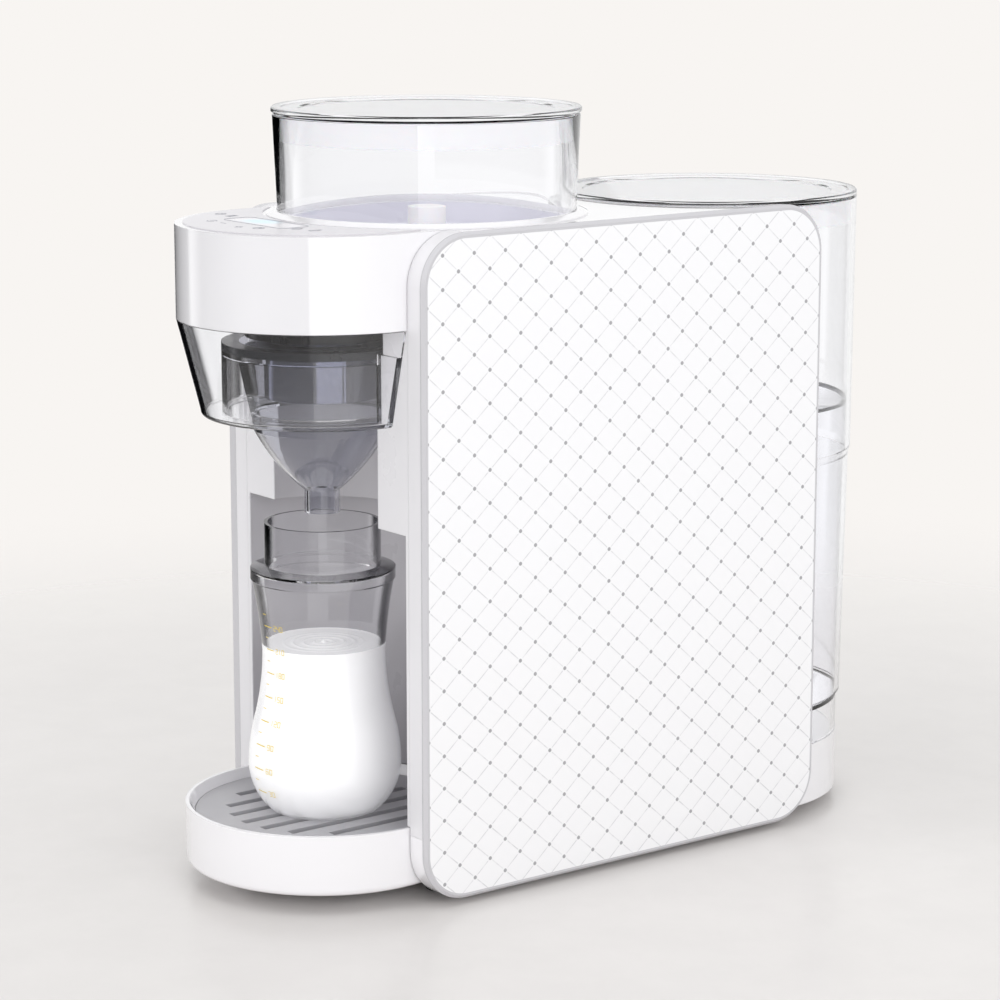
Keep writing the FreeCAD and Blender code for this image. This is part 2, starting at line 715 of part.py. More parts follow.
def make_tray():
    """The round drip tray under the bottle, with its bevelled rim and the grille's ledge."""
    edge = d.tray_edge_radius
    grille_radius = nose_radius - d.tray_rim_width - d.tray_bevel
    ledge_z = grille_top - d.grille_thickness
    inner = grille_radius - d.tray_ledge
    profile = [
        (0, tray_bottom),
        (nose_radius - edge, tray_bottom, edge),
        (nose_radius, tray_bottom + edge),
        (nose_radius, tray_rim),
        (nose_radius - d.tray_rim_width, tray_rim),
        (grille_radius, grille_top),
        (grille_radius, ledge_z),
        (inner, ledge_z),
        (inner, tray_bottom + d.shell_wall + edge / 2),
        (inner - edge / 2, tray_bottom + d.shell_wall),
        (0, tray_bottom + d.shell_wall),
    ]
    keep("drip_tray", turned(profile, y=nose_y))
    plate_radius = grille_radius - d.grille_gap
    plate = cylinder(plate_radius, ledge_z, grille_top, y=nose_y)
    slot_reach = plate_radius - d.slot_margin
    slots = []
    step = 0
    while (d.slot_pitch * step).value < slot_reach.value - d.slot_width.value / 2:
        for side in (-1, 1) if step else (1,):
            middle = d.slot_pitch * step * side
            half_length = root(slot_reach * slot_reach - middle * middle)
            slots.append(
                box(
                    middle - d.slot_width / 2,
                    middle + d.slot_width / 2,
                    nose_y - half_length,
                    nose_y + half_length,
                    ledge_z - d.overrun,
                    grille_top + d.overrun,
                )
            )
        step += 1
    keep("drip_grille", cut(plate, *slots))


# funnel drawer ----------------------------------------------------------------------------------

skirt_top = drawer_bottom + d.skirt_height
flange_top = skirt_top + d.flange_thickness


def make_drawer():
    """The clear drawer: slanted front wall, floor, inner skirt round the funnel, back plates."""
    wall = d.clear_wall
    edge = d.drawer_edge
    bowl = turned(
        [
            (d.skirt_radius - wall, drawer_bottom),
            (d.drawer_floor_radius - edge, drawer_bottom, edge),
            (d.drawer_floor_radius, drawer_bottom + edge),
            (nose_radius, drawer_top),
            (nose_radius - wall, drawer_top),
            (d.drawer_floor_radius - wall, drawer_bottom + edge, wall - edge),
            (d.drawer_floor_radius - edge, drawer_bottom + wall),
            (d.skirt_radius - wall, drawer_bottom + wall),
        ],
        y=nose_y,
    )
    front = panel_front - d.slide_gap
    in_front = box(-everywhere, everywhere, -everywhere, front, 0, everywhere)
    skirt = turned(
        [
            (d.funnel_floor_radius + d.funnel_gap, drawer_bottom),
            (d.skirt_radius, drawer_bottom),
            (d.skirt_radius, skirt_top),
            (d.skirt_radius - wall, skirt_top),
            (d.skirt_radius - wall, drawer_bottom + wall),
            (d.funnel_floor_radius + d.funnel_gap, drawer_bottom + wall),
        ],
        y=nose_y,
    )
    back_top = drawer_bottom + d.drawer_back_height
    back = common(
        turned(
            [
                (d.skirt_radius - wall / 2, drawer_bottom),
                (d.drawer_floor_radius - edge, drawer_bottom, edge),
                (d.drawer_floor_radius, drawer_bottom + edge),
                (nose_radius, drawer_top),
                (d.skirt_radius + d.funnel_gap, drawer_top),
                (d.skirt_radius + d.funnel_gap, skirt_top),
                (d.skirt_radius - wall / 2, skirt_top),
            ],
            y=nose_y,
        ),
        box(-everywhere, everywhere, front - wall, front, 0, back_top),
    )
    keep("funnel_drawer", fuse(common(bowl, in_front), skirt, back))


def make_funnel():
    """The clear funnel with its flange and nozzle, the slate ring on it and the mixing cup in it."""
    wall = d.clear_wall
    bend = drawer_bottom - d.funnel_belly_drop
    neck = nozzle_bottom + d.nozzle_length
    bore = d.nozzle_radius - wall
    bend_radius = d.funnel_floor_radius - wall / 2
    keep(
        "funnel",
        turned(
            [
                (bore, nozzle_bottom),
                (d.nozzle_radius, nozzle_bottom),
                (d.nozzle_radius, neck, d.funnel_curve),
                (bend_radius, bend),
                (d.funnel_floor_radius, drawer_bottom),
                (d.funnel_top_radius, skirt_top),
                (d.skirt_radius, skirt_top),
                (d.skirt_radius, flange_top),
                (d.funnel_top_radius - wall, flange_top),
                (d.funnel_floor_radius - wall, drawer_bottom),
                (bend_radius - wall, bend, -d.funnel_curve),
                (bore, neck),
            ],
            y=nose_y,
        ),
    )
    ring_top = flange_top + d.ring_height
    ring_inner = d.skirt_radius - d.ring_width
    keep("funnel_ring", ring(d.skirt_radius, ring_inner, flange_top, ring_top, y=nose_y))
    cup_low = ring_top - d.cup_depth
    keep(
        "mixing_cup",
        turned(
            [
                (d.cup_hole, cup_low),
                (d.cup_radius, cup_low),
                (d.cup_radius, ring_top - d.cup_wall),
                (ring_inner, ring_top - d.cup_wall),
                (ring_inner, ring_top),
                (d.cup_radius - d.cup_wall, ring_top),
                (d.cup_radius - d.cup_wall, cup_low + d.cup_wall),
                (d.cup_hole, cup_low + d.cup_wall),
            ],
            y=nose_y,
        ),
    )
    return ring_top


# bottle -----------------------------------------------------------------------------------------

def make_bottle():
    """The bottle: round foot and belly, waist, spreading wall, bead and straight neck."""
    wall = d.bottle_wall

    def contour(offset, floor_z):
        """The side of the bottle from its foot to its mouth, moved inwards by an offset."""
        belly = bottle_foot + d.bottle_belly_height
        turn = bottle_foot + d.bottle_turn_height
        waist = bottle_foot + d.bottle_waist_height
        shoulder = bottle_foot + d.bottle_shoulder_height
        bead_top = shoulder + d.bottle_bead_height
        return [
            (d.bottle_foot_radius - offset / 2, floor_z, d.bottle_foot_bend - offset),
            (d.bottle_belly_radius - offset, belly, d.bottle_belly_bend - offset),
            (d.bottle_turn_radius - offset, turn, -(d.bottle_turn_bend + offset)),
            (d.bottle_waist_radius - offset, waist, -(d.bottle_waist_bend + offset)),
            (d.bottle_shoulder_radius - offset, shoulder),
            (d.bottle_shoulder_radius - offset, bead_top - offset),
            (d.bottle_neck_radius - offset, bead_top + wall - offset),
            (d.bottle_neck_radius - offset, bottle_mouth),
        ]

    outside = contour(0, bottle_foot)
    outside[5:6] = [
        (d.bottle_shoulder_radius + d.bottle_bead, outside[4][1] + d.bottle_bead),
        (d.bottle_shoulder_radius + d.bottle_bead, outside[5][1]),
    ]
    inside = contour(wall, bottle_foot + wall)
    solid = turned([(0, bottle_foot)] + outside + [(0, bottle_mouth)], y=nose_y)
    hollow = turned([(0, bottle_foot + wall)] + inside + [(0, bottle_mouth)], y=nose_y)
    keep("bottle", cut(solid, hollow))


# head and deck ----------------------------------------------------------------------------------

deck_hole = collar_inner + d.collar_wall
ledge_inner = bowl_neck_radius + d.fit_gap
jet_x = -d.jet_offset


def nose_block(radius, z_low, z_high, back):
    """A block with the nose's round front and straight sides behind its axis."""
    behind_axis = box(-radius, radius, nose_y, back, z_low, z_high)
    return fuse(
        common(
            cylinder(radius, z_low, z_high, y=nose_y),
            box(-everywhere, everywhere, -everywhere, nose_y, 0, everywhere),
        ),
        behind_axis,
    )


def make_head():
    """The white head over the drawer, with its floor, top and the posts of the control board."""
    outside = nose_block(nose_radius, head_bottom, deck_top, head_back)
    inside = nose_block(
        nose_radius - d.shell_wall, head_floor_top, deck_bottom, head_back + d.overrun
    )
    hopper_hole = cylinder(deck_hole, deck_bottom - d.overrun, everywhere, y=hopper_y)
    powder_hole = cylinder(d.outlet_bore, 0, head_floor_top + d.overrun, y=nose_y)
    jet_hole = cylinder(d.jet_radius, 0, head_floor_top + d.overrun, jet_x, nose_y)
    display_hole = display_block(deck_bottom - d.overrun, deck_top + d.overrun, d.shell_wall)
    posts = [
        cut(
            cylinder(d.post_radius, board_top, deck_bottom, x, y),
            cylinder(d.screw_radius, 0, screw_top, x, y),
        )
        for x, y in board_corners()
    ]
    shell = cut(outside, inside, hopper_hole, powder_hole, jet_hole, display_hole)
    keep("head_shell", fuse(shell, *posts))


board_top = deck_bottom - d.board_post
board_bottom = board_top - d.board_thickness
board_half = d.board_width / 2
board_back = head_front + d.board_set
board_front = board_back - d.board_depth
screw_top = board_bottom + d.screw_length
display_x = -d.display_offset
display_y = head_front + d.display_set


def display_block(z_low, z_high, inset=0):
    """A block the size of the display window, less an inset all round."""
    half_width = d.display_width / 2 - inset
    half_depth = d.display_depth / 2 - inset
    return box(
        display_x - half_width,
        display_x + half_width,
        display_y - half_depth,
        display_y + half_depth,
        z_low,
        z_high,
    )


def board_corners():
    """Where the posts meet the control board."""
    inset = d.post_inset
    return [
        (side * (board_half - inset), y)
        for side in (-1, 1)
        for y in (board_front + inset, board_back - inset)
    ]


def make_controls():
    """The grey control overlay, the display window in it, and the electronics under it."""
    crescent = cut(
        cylinder(
            nose_radius - d.overlay_margin, deck_top, deck_top + d.overlay_thickness, y=nose_y
        ),
        cylinder(collar_outer + d.collar_wall, 0, everywhere, y=hopper_y),
    )
    keep("control_overlay", cut(crescent, display_block(0, everywhere)))
    keep("display_window", display_block(deck_top, deck_top + d.overlay_thickness))
    keep("display_module", display_block(board_top, deck_top, d.shell_wall))
    board = box(-board_half, board_half, board_front, board_back, board_bottom, board_top)
    holes = [cylinder(d.screw_radius, 0, everywhere, x, y) for x, y in board_corners()]
    keep("control_board", cut(board, *holes))
    screws = [
        fuse(
            cylinder(d.screw_radius, board_bottom, screw_top, x, y),
            cylinder(d.post_radius, board_bottom - d.screw_head, board_bottom, x, y),
        )
        for x, y in board_corners()
    ]
    keep("board_screws", group(*screws))


def make_deck():
    """The top deck between the covers and the raised collar that the hopper stands in."""
    plate = box(
        -frame_outer,
        frame_outer,
        head_back,
        panel_rear - d.corner_radius,
        deck_bottom,
        deck_top,
    )
    keep(
        "top_deck",
        cut(
            plate,
            cylinder(deck_hole, 0, everywhere, y=hopper_y),
            cylinder(pocket_radius, 0, everywhere, y=tank_y),
        ),
    )
    rise = deck_top + d.collar_rise
    keep(
        "hopper_collar",
        turned(
            [
                (ledge_inner, deck_bottom),
                (deck_hole, deck_bottom),
                (deck_hole, deck_top),
                (collar_outer, deck_top),
                (collar_outer, deck_top + d.collar_edge),
                (deck_hole, rise),
                (collar_inner, rise),
                (collar_inner, hopper_seat),
                (ledge_inner, hopper_seat),
            ],
            y=hopper_y,
        ),
    )


def make_outlet(ring_top):
    """The dark outlet collar under the head, the water jet through it and the powder chute."""
    collar_low = ring_top + d.outlet_gap
    collar = ring(d.outlet_radius, d.outlet_bore, collar_low, head_bottom, y=nose_y)
    keep("outlet_collar", cut(collar, cylinder(d.jet_radius, 0, everywhere, jet_x, nose_y)))
    jet_high = hose_z + d.hose_radius + d.spigot_wall
    jet = cylinder(d.jet_radius, collar_low, jet_high, jet_x, nose_y)
    jet_left = jet_x - d.jet_radius - d.spigot_length
    spigot = level_rod(spigot_radius, jet_left, jet_x, Vector(1, 0, 0), 0, nose_y, hose_z)
    way = level_rod(spigot_bore, jet_left - d.overrun, jet_x, Vector(1, 0, 0), 0, nose_y, hose_z)
    upright_way = cylinder(d.jet_bore, 0, hose_z + spigot_radius, jet_x, nose_y)
    keep("water_jet", cut(fuse(jet, spigot), way, upright_way))
    width = d.outlet_hole + d.shell_wall
    mouth_y = hopper_y - outlet_reach
    chute_top = hopper_floor - d.slide_gap
    block = box(
        -width, width, nose_y - width, mouth_y + width, head_floor_top, chute_top
    )
    way = padded(
        "YZ_Plane",
        [
            (nose_y - d.outlet_hole, head_floor_top - d.overrun),
            (nose_y + d.outlet_hole, head_floor_top - d.overrun),
            (mouth_y + d.outlet_hole, chute_top + d.overrun),
            (mouth_y - d.outlet_hole, chute_top + d.overrun),
        ],
        d.outlet_hole * 2,
    )
    place(way, -d.outlet_hole)
    keep("powder_chute", cut(block, way))


# hopper -----------------------------------------------------------------------------------------

bowl_floor_top = hopper_floor + d.bowl_wall
outlet_reach = d.bowl_radius - d.bowl_wall - d.outlet_offset
wheel_low = bowl_floor_top + d.wheel_gap
wheel_high = wheel_low + d.wheel_thickness
gear_high = hopper_floor - d.gear_clearance
gear_low = gear_high - d.gear_thickness


def round_lid(radius, z_low, y):
    """A clear lid with two shallow steps in its top."""
    top = z_low + d.lid_thickness
    first = radius - d.lid_step
    second = first - d.lid_shelf
    return turned(
        [
            (0, z_low),
            (radius - d.lid_sink, z_low),
            (radius, z_low + d.lid_sink),
            (radius, top - d.lid_sink / 2),
            (radius - d.lid_sink / 2, top),
            (first, top),
            (first - d.lid_sink / 2, top - d.lid_sink / 2),
            (second, top - d.lid_sink / 2),
            (second - d.lid_sink / 2, top - d.lid_sink),
            (0, top - d.lid_sink),
        ],
        y=y,
    )


def make_hopper():
    """The powder hopper: clear wall, bowl, lid and seal."""
    top_radius = hopper_radius + d.hopper_flare
    keep(
        "hopper_wall",
        turned(
            [
                (bowl_rim_radius, hopper_seat),
                (hopper_radius, hopper_seat),
                (top_radius, hopper_top),
                (top_radius - d.hopper_wall, hopper_top),
                (bowl_rim_radius, hopper_seat + d.bowl_wall),
            ],
            y=hopper_y,
        ),
    )
    wall = d.bowl_wall
    cone_low = wheel_high + d.wheel_gap
    cone_high = cone_low + d.bowl_cone
    bore = d.dog_radius + d.dog_gap
    bowl = turned(
        [
            (bore, hopper_floor),
            (d.bowl_radius, hopper_floor),
            (d.bowl_radius, cone_low),
            (bowl_neck_radius, cone_high),
            (bowl_neck_radius, hopper_seat),
            (bowl_rim_radius, hopper_seat),
            (bowl_rim_radius, hopper_seat + wall),
            (bowl_neck_radius - wall, hopper_seat + wall),
            (bowl_neck_radius - wall, cone_high),
            (d.bowl_radius - wall, cone_low),
            (d.bowl_radius - wall, bowl_floor_top),
            (bore, bowl_floor_top),
        ],
        y=hopper_y,
    )
    outlet = cylinder(
        d.outlet_hole, 0, bowl_floor_top + d.overrun, y=hopper_y - outlet_reach
    )
    keep("hopper_bowl", cut(bowl, outlet))
    lid_low = hopper_top + d.seat_gap
    keep("hopper_lid", round_lid(top_radius + d.lid_overhang, lid_low, hopper_y))
    inner = top_radius - d.hopper_wall - d.hopper_flare * d.seal_height / d.hopper_wall_height
    seal_radius = inner - d.fit_gap
    keep(
        "hopper_lid_seal",
        ring(seal_radius, seal_radius - d.seal_width, lid_low - d.seal_height, lid_low, y=hopper_y),
    )


def make_agitator():
    """The dosing wheel in the bowl and the agitator on it, driven through a hexagonal socket."""
    wheel_radius = d.bowl_radius - d.bowl_wall - d.wheel_gap
    wheel = ring(wheel_radius, d.hub_radius, wheel_low, wheel_high, y=hopper_y)
    pockets = []
    count = int(d.wheel_pockets.value)
    for step in range(count):
        angle = math.pi / 2 + 2 * math.pi * step / count
        pockets.append(
            cylinder(
                d.outlet_hole,
                0,
                everywhere,
                outlet_reach * math.cos(angle),
                hopper_y + outlet_reach * math.sin(angle),
            )
        )
    keep("dosing_wheel", cut(wheel, *pockets))
    hub = cylinder(d.hub_radius, wheel_low, hopper_floor + d.hub_height, y=hopper_y)
    socket_top = hopper_floor + d.dog_length + d.dog_gap
    socket = hexagon(d.dog_radius + d.dog_gap, hopper_floor, socket_top, y=hopper_y)
    half = d.arm_width / 2
    arms = box(
        -d.arm_reach, d.arm_reach, hopper_y - half, hopper_y + half, wheel_high, wheel_high + d.arm_height
    )
    keep("agitator", cut(fuse(hub, arms), socket))


# drive ------------------------------------------------------------------------------------------

FLANK_STEPS = 4


def gear_shape(teeth, thickness):
    """A spur gear with involute flanks about its own origin."""
    module = d.gear_module.value
    pressure_angle = math.radians(d.pressure_angle.value)
    pitch_radius = module * teeth / 2
    base_radius = pitch_radius * math.cos(pressure_angle)
    tip_radius = pitch_radius + module * d.gear_addendum.value
    root_radius = pitch_radius - module * d.gear_dedendum.value
    thinning = d.gear_backlash.value / pitch_radius / 2
    involute = math.tan(pressure_angle) - pressure_angle
    half_tooth = math.pi / teeth / 2 - thinning + involute
    start = max(base_radius, root_radius)
    points = []
    for tooth in range(teeth):
        middle = 2 * math.pi * tooth / teeth
        flank = []
        for step in range(FLANK_STEPS + 1):
            radius = start + (tip_radius - start) * step / FLANK_STEPS
            roll = math.sqrt(max(0.0, (radius / base_radius) ** 2 - 1))
            flank.append((radius, half_tooth - (roll - math.atan(roll))))
        root_angle = flank[0][1]
        low_side = [(root_radius, -root_angle)] + [(radius, -angle) for radius, angle in flank]
        high_side = [(radius, angle) for radius, angle in reversed(flank)]
        high_side.append((root_radius, root_angle))
        for radius, angle in low_side + high_side:
            turn = middle + angle
            points.append(Vector(radius * math.cos(turn), radius * math.sin(turn), 0))
    distinct = [points[0]]
    for point in points[1:]:
        if point.distanceToPoint(distinct[-1]) > 1e-4:
            distinct.append(point)
    face = Part.Face(Part.makePolygon(distinct + [distinct[0]]))
    return face.extrude(Vector(0, 0, thickness.value))


def make_drive():
    """The drive gear under the hopper, the motor pinion, the motor and the plate that holds them."""
    gear_teeth = int(d.gear_teeth.value)
    pinion_teeth = int(d.pinion_teeth.value)
    motor_y = hopper_y + d.gear_module * (d.gear_teeth + d.pinion_teeth) / 2
    plate_low = head_bottom
    plate_high = head_floor_top
    wheel = place(shape_piece(gear_shape(gear_teeth, d.gear_thickness)), 0, hopper_y, gear_low)
    shaft = cylinder(d.shaft_radius, plate_low, gear_high, y=hopper_y)
    dog = hexagon(d.dog_radius, gear_low, hopper_floor + d.dog_length, y=hopper_y)
    keep("drive_gear", fuse(wheel, shaft, dog))
    pinion_shape = gear_shape(pinion_teeth, d.gear_thickness)
    pinion_shape.rotate(Vector(0, 0, 0), Vector(0, 0, 1), 180 / pinion_teeth)
    pinion = place(shape_piece(pinion_shape), 0, motor_y, gear_low)
    shaft_low = plate_low - d.motor_shaft_depth
    motor_shaft = cylinder(d.motor_shaft_radius, shaft_low + d.running_gap, gear_high, y=motor_y)
    keep("motor_pinion", fuse(pinion, motor_shaft))
    shaft_hole = cylinder(d.motor_shaft_radius + d.running_gap, shaft_low, everywhere, y=motor_y)
    motor = cylinder(d.motor_radius, plate_low - d.motor_height, plate_low, y=motor_y)
    keep("dosing_motor", cut(motor, shaft_hole))
    plate = box(
        -inner_half, inner_half, head_back, motor_y + d.plate_margin, plate_low, plate_high
    )
    boss = cylinder(d.shaft_radius + d.shell_wall, plate_low, gear_low - d.running_gap, y=hopper_y)
    hose_side = d.hose_radius + d.fit_gap
    openings = (
        cylinder(d.shaft_radius + d.running_gap, 0, everywhere, y=hopper_y),
        cylinder(d.motor_shaft_radius + d.running_gap, 0, everywhere, y=motor_y),
        box(
            hose_x - hose_side,
            hose_x + hose_side,
            hose_y - hose_side - d.hose_room,
            hose_y + hose_side,
            0,
            everywhere,
        ),
    )
    keep("gear_plate", cut(fuse(plate, boss), *openings))


# water tank -------------------------------------------------------------------------------------

tank_bottom = d.pedestal_top + d.seat_gap
tank_floor_top = tank_bottom + d.tank_foot_height
tank_floor_low = tank_floor_top - d.shell_wall
seal_low = d.pedestal_top + d.port_flange
seal_high = seal_low + d.port_flange
port_low = seal_high + d.seat_gap
seat_radius = d.port_bore - d.port_lip
valve_low = port_low + d.shell_wall + d.seat_gap
valve_high = valve_low + d.shell_wall
cage_high = tank_floor_low
cage_low = cage_high - d.shell_wall


def make_tank():
    """The water tank with its foot and port, its lid and seal."""
    wall = d.clear_wall
    step_low = tank_floor_top + d.tank_step_height
    step_high = step_low + d.tank_step_rise
    upper = d.tank_waist_radius + d.tank_step
    shoulder = tank_floor_top + d.tank_shoulder
    keep(
        "water_tank",
        turned(
            [
                (seat_radius, port_low),
                (d.port_radius, port_low),
                (d.port_radius, tank_floor_low),
                (d.tank_foot_radius - wall, tank_floor_low),
                (d.tank_foot_radius - wall, tank_bottom),
                (d.tank_foot_radius, tank_bottom),
                (d.tank_foot_radius, tank_floor_top),
                (d.tank_low_radius, shoulder),
                (d.tank_waist_radius, step_low),
                (upper, step_high),
                (d.tank_radius, tank_top),
                (d.tank_radius - wall, tank_top),
                (upper - wall, step_high),
                (d.tank_waist_radius - wall, step_low),
                (d.tank_low_radius - wall, shoulder),
                (d.tank_foot_radius - wall, tank_floor_top),
                (d.port_bore, tank_floor_top),
                (d.port_bore, port_low + d.shell_wall),
                (seat_radius, port_low + d.shell_wall),
            ],
            y=tank_y,
        ),
    )
    lid_low = tank_top + d.seat_gap
    keep("tank_lid", round_lid(d.tank_radius, lid_low, tank_y))
    slope = larger(0, (d.tank_radius - upper) * d.seal_height / (tank_top - step_high))
    seal_radius = d.tank_radius - wall - slope - d.fit_gap
    keep(
        "tank_lid_seal",
        ring(seal_radius, seal_radius - d.seal_width, lid_low - d.seal_height, lid_low, y=tank_y),
    )


def make_valve():
    """The spring valve in the tank's port and the fixed port under it."""
    stem = d.valve_stem
    head = turned(
        [
            (0, valve_low),
            (d.port_bore - d.valve_gap, valve_low),
            (d.port_bore - d.valve_gap, valve_high),
            (stem, valve_high),
            (stem, cage_high + d.valve_travel),
            (0, cage_high + d.valve_travel),
        ],
        y=tank_y,
    )
    keep("tank_valve", head)
    cage = ring(d.port_bore, stem + d.valve_gap / 2, cage_low, cage_high, y=tank_y)
    middle = (d.port_bore + stem + d.valve_gap) / 2
    ways = [
        cylinder(
            d.cage_hole,
            0,
            everywhere,
            middle * math.cos(math.radians(45 + 90 * step)),
            tank_y + middle * math.sin(math.radians(45 + 90 * step)),
        )
        for step in range(4)
    ]
    keep("valve_cage", cut(cage, *ways))
    low = valve_high + d.spring_wire + d.spring_gap
    height = (cage_low - d.spring_wire - d.spring_gap - low).value
    radius = d.spring_radius.value
    helix = Part.makeHelix(height / d.spring_turns.value, height, radius)
    section = Part.makeCircle(d.spring_wire.value, Vector(radius, 0, 0), Vector(0, 1, 0))
    coil = Part.Wire(helix).makePipeShell([Part.Wire(section)], True, True)
    keep("valve_spring", place(shape_piece(coil), 0, tank_y, low))
    port_base = floor_top + d.shell_wall
    port_floor = port_base + d.shell_wall
    tube = turned(
        [
            (0, port_base),
            (d.port_bore, port_base),
            (d.port_bore, d.pedestal_top),
            (d.port_radius, d.pedestal_top),
            (d.port_radius, seal_low),
            (seat_radius, seal_low),
            (seat_radius, port_floor),
            (0, port_floor),
        ],
        y=tank_y,
    )
    pin = cylinder(d.valve_pin, port_base, valve_low - d.seat_gap, y=tank_y)
    spigot_end = tank_y - d.port_bore - d.spigot_length
    along = Vector(0, 1, 0)
    spigot = level_rod(spigot_radius, spigot_end, tank_y - seat_radius, along, 0, 0, supply_z)
    way = level_rod(
        spigot_bore, spigot_end - d.overrun, tank_y - seat_radius / 2, along, 0, 0, supply_z
    )
    keep("tank_port", cut(fuse(tube, pin, spigot), way))
    keep("port_seal", ring(d.port_radius, seat_radius, seal_low, seal_high, y=tank_y))


# water path and power ---------------------------------------------------------------------------

pump_x = d.pump_offset
pump_y = bay_wall_front - d.pump_set
heater_x = -d.pump_offset
heater_low = d.heater_lift
heater_high = heater_low + d.heater_height
hose_x = d.hose_side - inner_half
hose_y = hopper_y + d.hose_set
hose_z = head_floor_top + d.hose_radius + d.fit_gap
supply_z = inlet_middle
spigot_radius = d.hose_radius - d.hose_wall
spigot_bore = spigot_radius - d.spigot_wall


def hose(name, corners):
    """A round hose through corners, with an arc of one radius at each bend."""
    points = [Vector(*[as_size(part).value for part in corner]) for corner in corners]
    bend = d.hose_bend.value
    radius = d.hose_radius.value
    edges = []
    start = points[0]
    for index in range(1, len(points) - 1):
        corner = points[index]
        before = (points[index - 1] - corner).normalize()
        after = (points[index + 1] - corner).normalize()
        turn = math.pi - before.getAngle(after)
        reach = bend * math.tan(turn / 2)
        enter = corner + before * reach
        leave = corner + after * reach
        inward = (before + after).normalize()
        middle = corner + inward * (bend / math.cos(turn / 2) - bend)
        edges.append(Part.LineSegment(start, enter).toShape())
        edges.append(Part.Arc(enter, middle, leave).toShape())
        start = leave
    edges.append(Part.LineSegment(start, points[-1]).toShape())
    path = Part.Wire(edges)
    direction = points[1] - points[0]
    solids = [
        path.makePipeShell([Part.Wire(Part.makeCircle(size, points[0], direction))], True, False)
        for size in (radius, radius - d.hose_wall.value)
    ]
    keep(name, shape_piece(solids[0].cut(solids[1])))


def make_water_path():
    """Pump, flow heater and the three hoses from the tank's port to the jet."""
    supply_y = pump_y + d.pump_radius
    pump_top = floor_top + d.pump_height
    inlet_end = supply_y + d.spigot_length
    along = Vector(0, 1, 0)
    pump = fuse(
        cylinder(d.pump_radius, floor_top, pump_top, pump_x, pump_y),
        cylinder(spigot_radius, floor_top, pump_top + d.spigot_length, pump_x, pump_y),
        level_rod(spigot_radius, pump_y, inlet_end, along, pump_x, 0, supply_z),
    )
    ways = (
        cylinder(spigot_bore, supply_z, everywhere, pump_x, pump_y),
        level_rod(spigot_bore, pump_y, inlet_end + d.overrun, along, pump_x, 0, supply_z),
    )
    keep("water_pump", cut(pump, *ways))
    body = cylinder(d.heater_radius, heater_low, heater_high, heater_x, pump_y)
    pipe = cylinder(
        spigot_radius,
        heater_low - d.spigot_length,
        heater_high + d.spigot_length,
        heater_x,
        pump_y,
    )
    keep("flow_heater", cut(fuse(body, pipe), cylinder(spigot_bore, 0, everywhere, heater_x, pump_y)))
    arm = d.heater_radius / 2
    arms = [
        box(-inner_half, heater_x, pump_y - arm, pump_y + arm, z_low, z_low + d.shell_wall)
        for z_low in (heater_low + d.heater_radius, heater_high - d.heater_radius)
    ]
    heater_space = cylinder(d.heater_radius, heater_low, heater_high, heater_x, pump_y)
    keep("heater_bracket", cut(group(*arms), heater_space))
    hose(
        "supply_hose",
        [
            (0, tank_y - d.port_bore, supply_z),
            (0, supply_y + d.hose_lead, supply_z),
            (pump_x, supply_y + d.hose_lead, supply_z),
            (pump_x, supply_y, supply_z),
        ],
    )
    crossing = (pump_top + heater_low) / 2
    hose(
        "heater_hose",
        [
            (pump_x, pump_y, pump_top),
            (pump_x, pump_y, crossing),
            (heater_x, pump_y, crossing),
            (heater_x, pump_y, heater_low),
        ],
    )
    hose(
        "jet_hose",
        [
            (heater_x, pump_y, heater_high),
            (heater_x, pump_y, heater_high + d.hose_rise),
            (hose_x, hose_y, heater_high + d.hose_rise * 2),
            (hose_x, hose_y, hose_z),
            (hose_x, nose_y, hose_z),
            (jet_x - d.jet_radius, nose_y, hose_z),
        ],
    )


def make_power():
    """The mains inlet in the pedestal and the power board with its transformer."""
    half_width = d.inlet_width / 2
    half_height = d.inlet_height / 2
    wall = d.shell_wall
    inlet = box(
        -half_width,
        half_width,
        inlet_front,
        inlet_rear,
        inlet_middle - half_height,
        inlet_middle + half_height,
    )
    socket = box(
        wall - half_width,
        half_width - wall,
        inlet_front + wall,
        everywhere,
        inlet_middle - half_height + wall,
        inlet_middle + half_height - wall,
    )
    keep("power_inlet", cut(inlet, socket))
    board_low = floor_top + d.board_post
    board_high = board_low + d.board_thickness
    x_low = -inner_half + d.board_post
    x_high = x_low + d.power_board_width
    y_low = nose_y + nose_radius + d.power_board_set
    y_high = y_low + d.power_board_depth
    inset = d.board_post
    keep("power_board", box(x_low, x_high, y_low, y_high, board_low, board_high))
    keep(
        "transformer",
        box(
            x_low + inset,
            x_low + inset + d.transformer_width,
            y_low + inset,
            y_low + inset + d.transformer_depth,
            board_high,
            board_high + d.transformer_height,
        ),
    )
    posts = [
        cylinder(d.post_radius, floor_top, board_low, x, y)
        for x in (x_low + inset, x_high - inset)
        for y in (y_low + inset, y_high - inset)
    ]
    keep("board_posts", group(*posts))


# assembly ---------------------------------------------------------------------------------------

make_base()
make_feet()
make_sides()
make_liner()
make_bay_wall()
make_tray()
make_drawer()
ring_top = make_funnel()
make_bottle()
make_head()
make_controls()
make_deck()
make_outlet(ring_top)
make_hopper()
make_agitator()
make_drive()
make_tank()
make_valve()
make_water_path()
make_power()

doc.recompute()

for item in doc.Objects:
    if "Invalid" in item.State or "Error" in item.State:
        raise RuntimeError(f"{item.Name} ({item.Label}) failed: {item.State}")
for piece in nodes:
    if piece.Shape.isNull() or not piece.Shape.isValid() or not piece.Shape.Solids:
        raise RuntimeError(f"{piece.Label} has no valid shape")

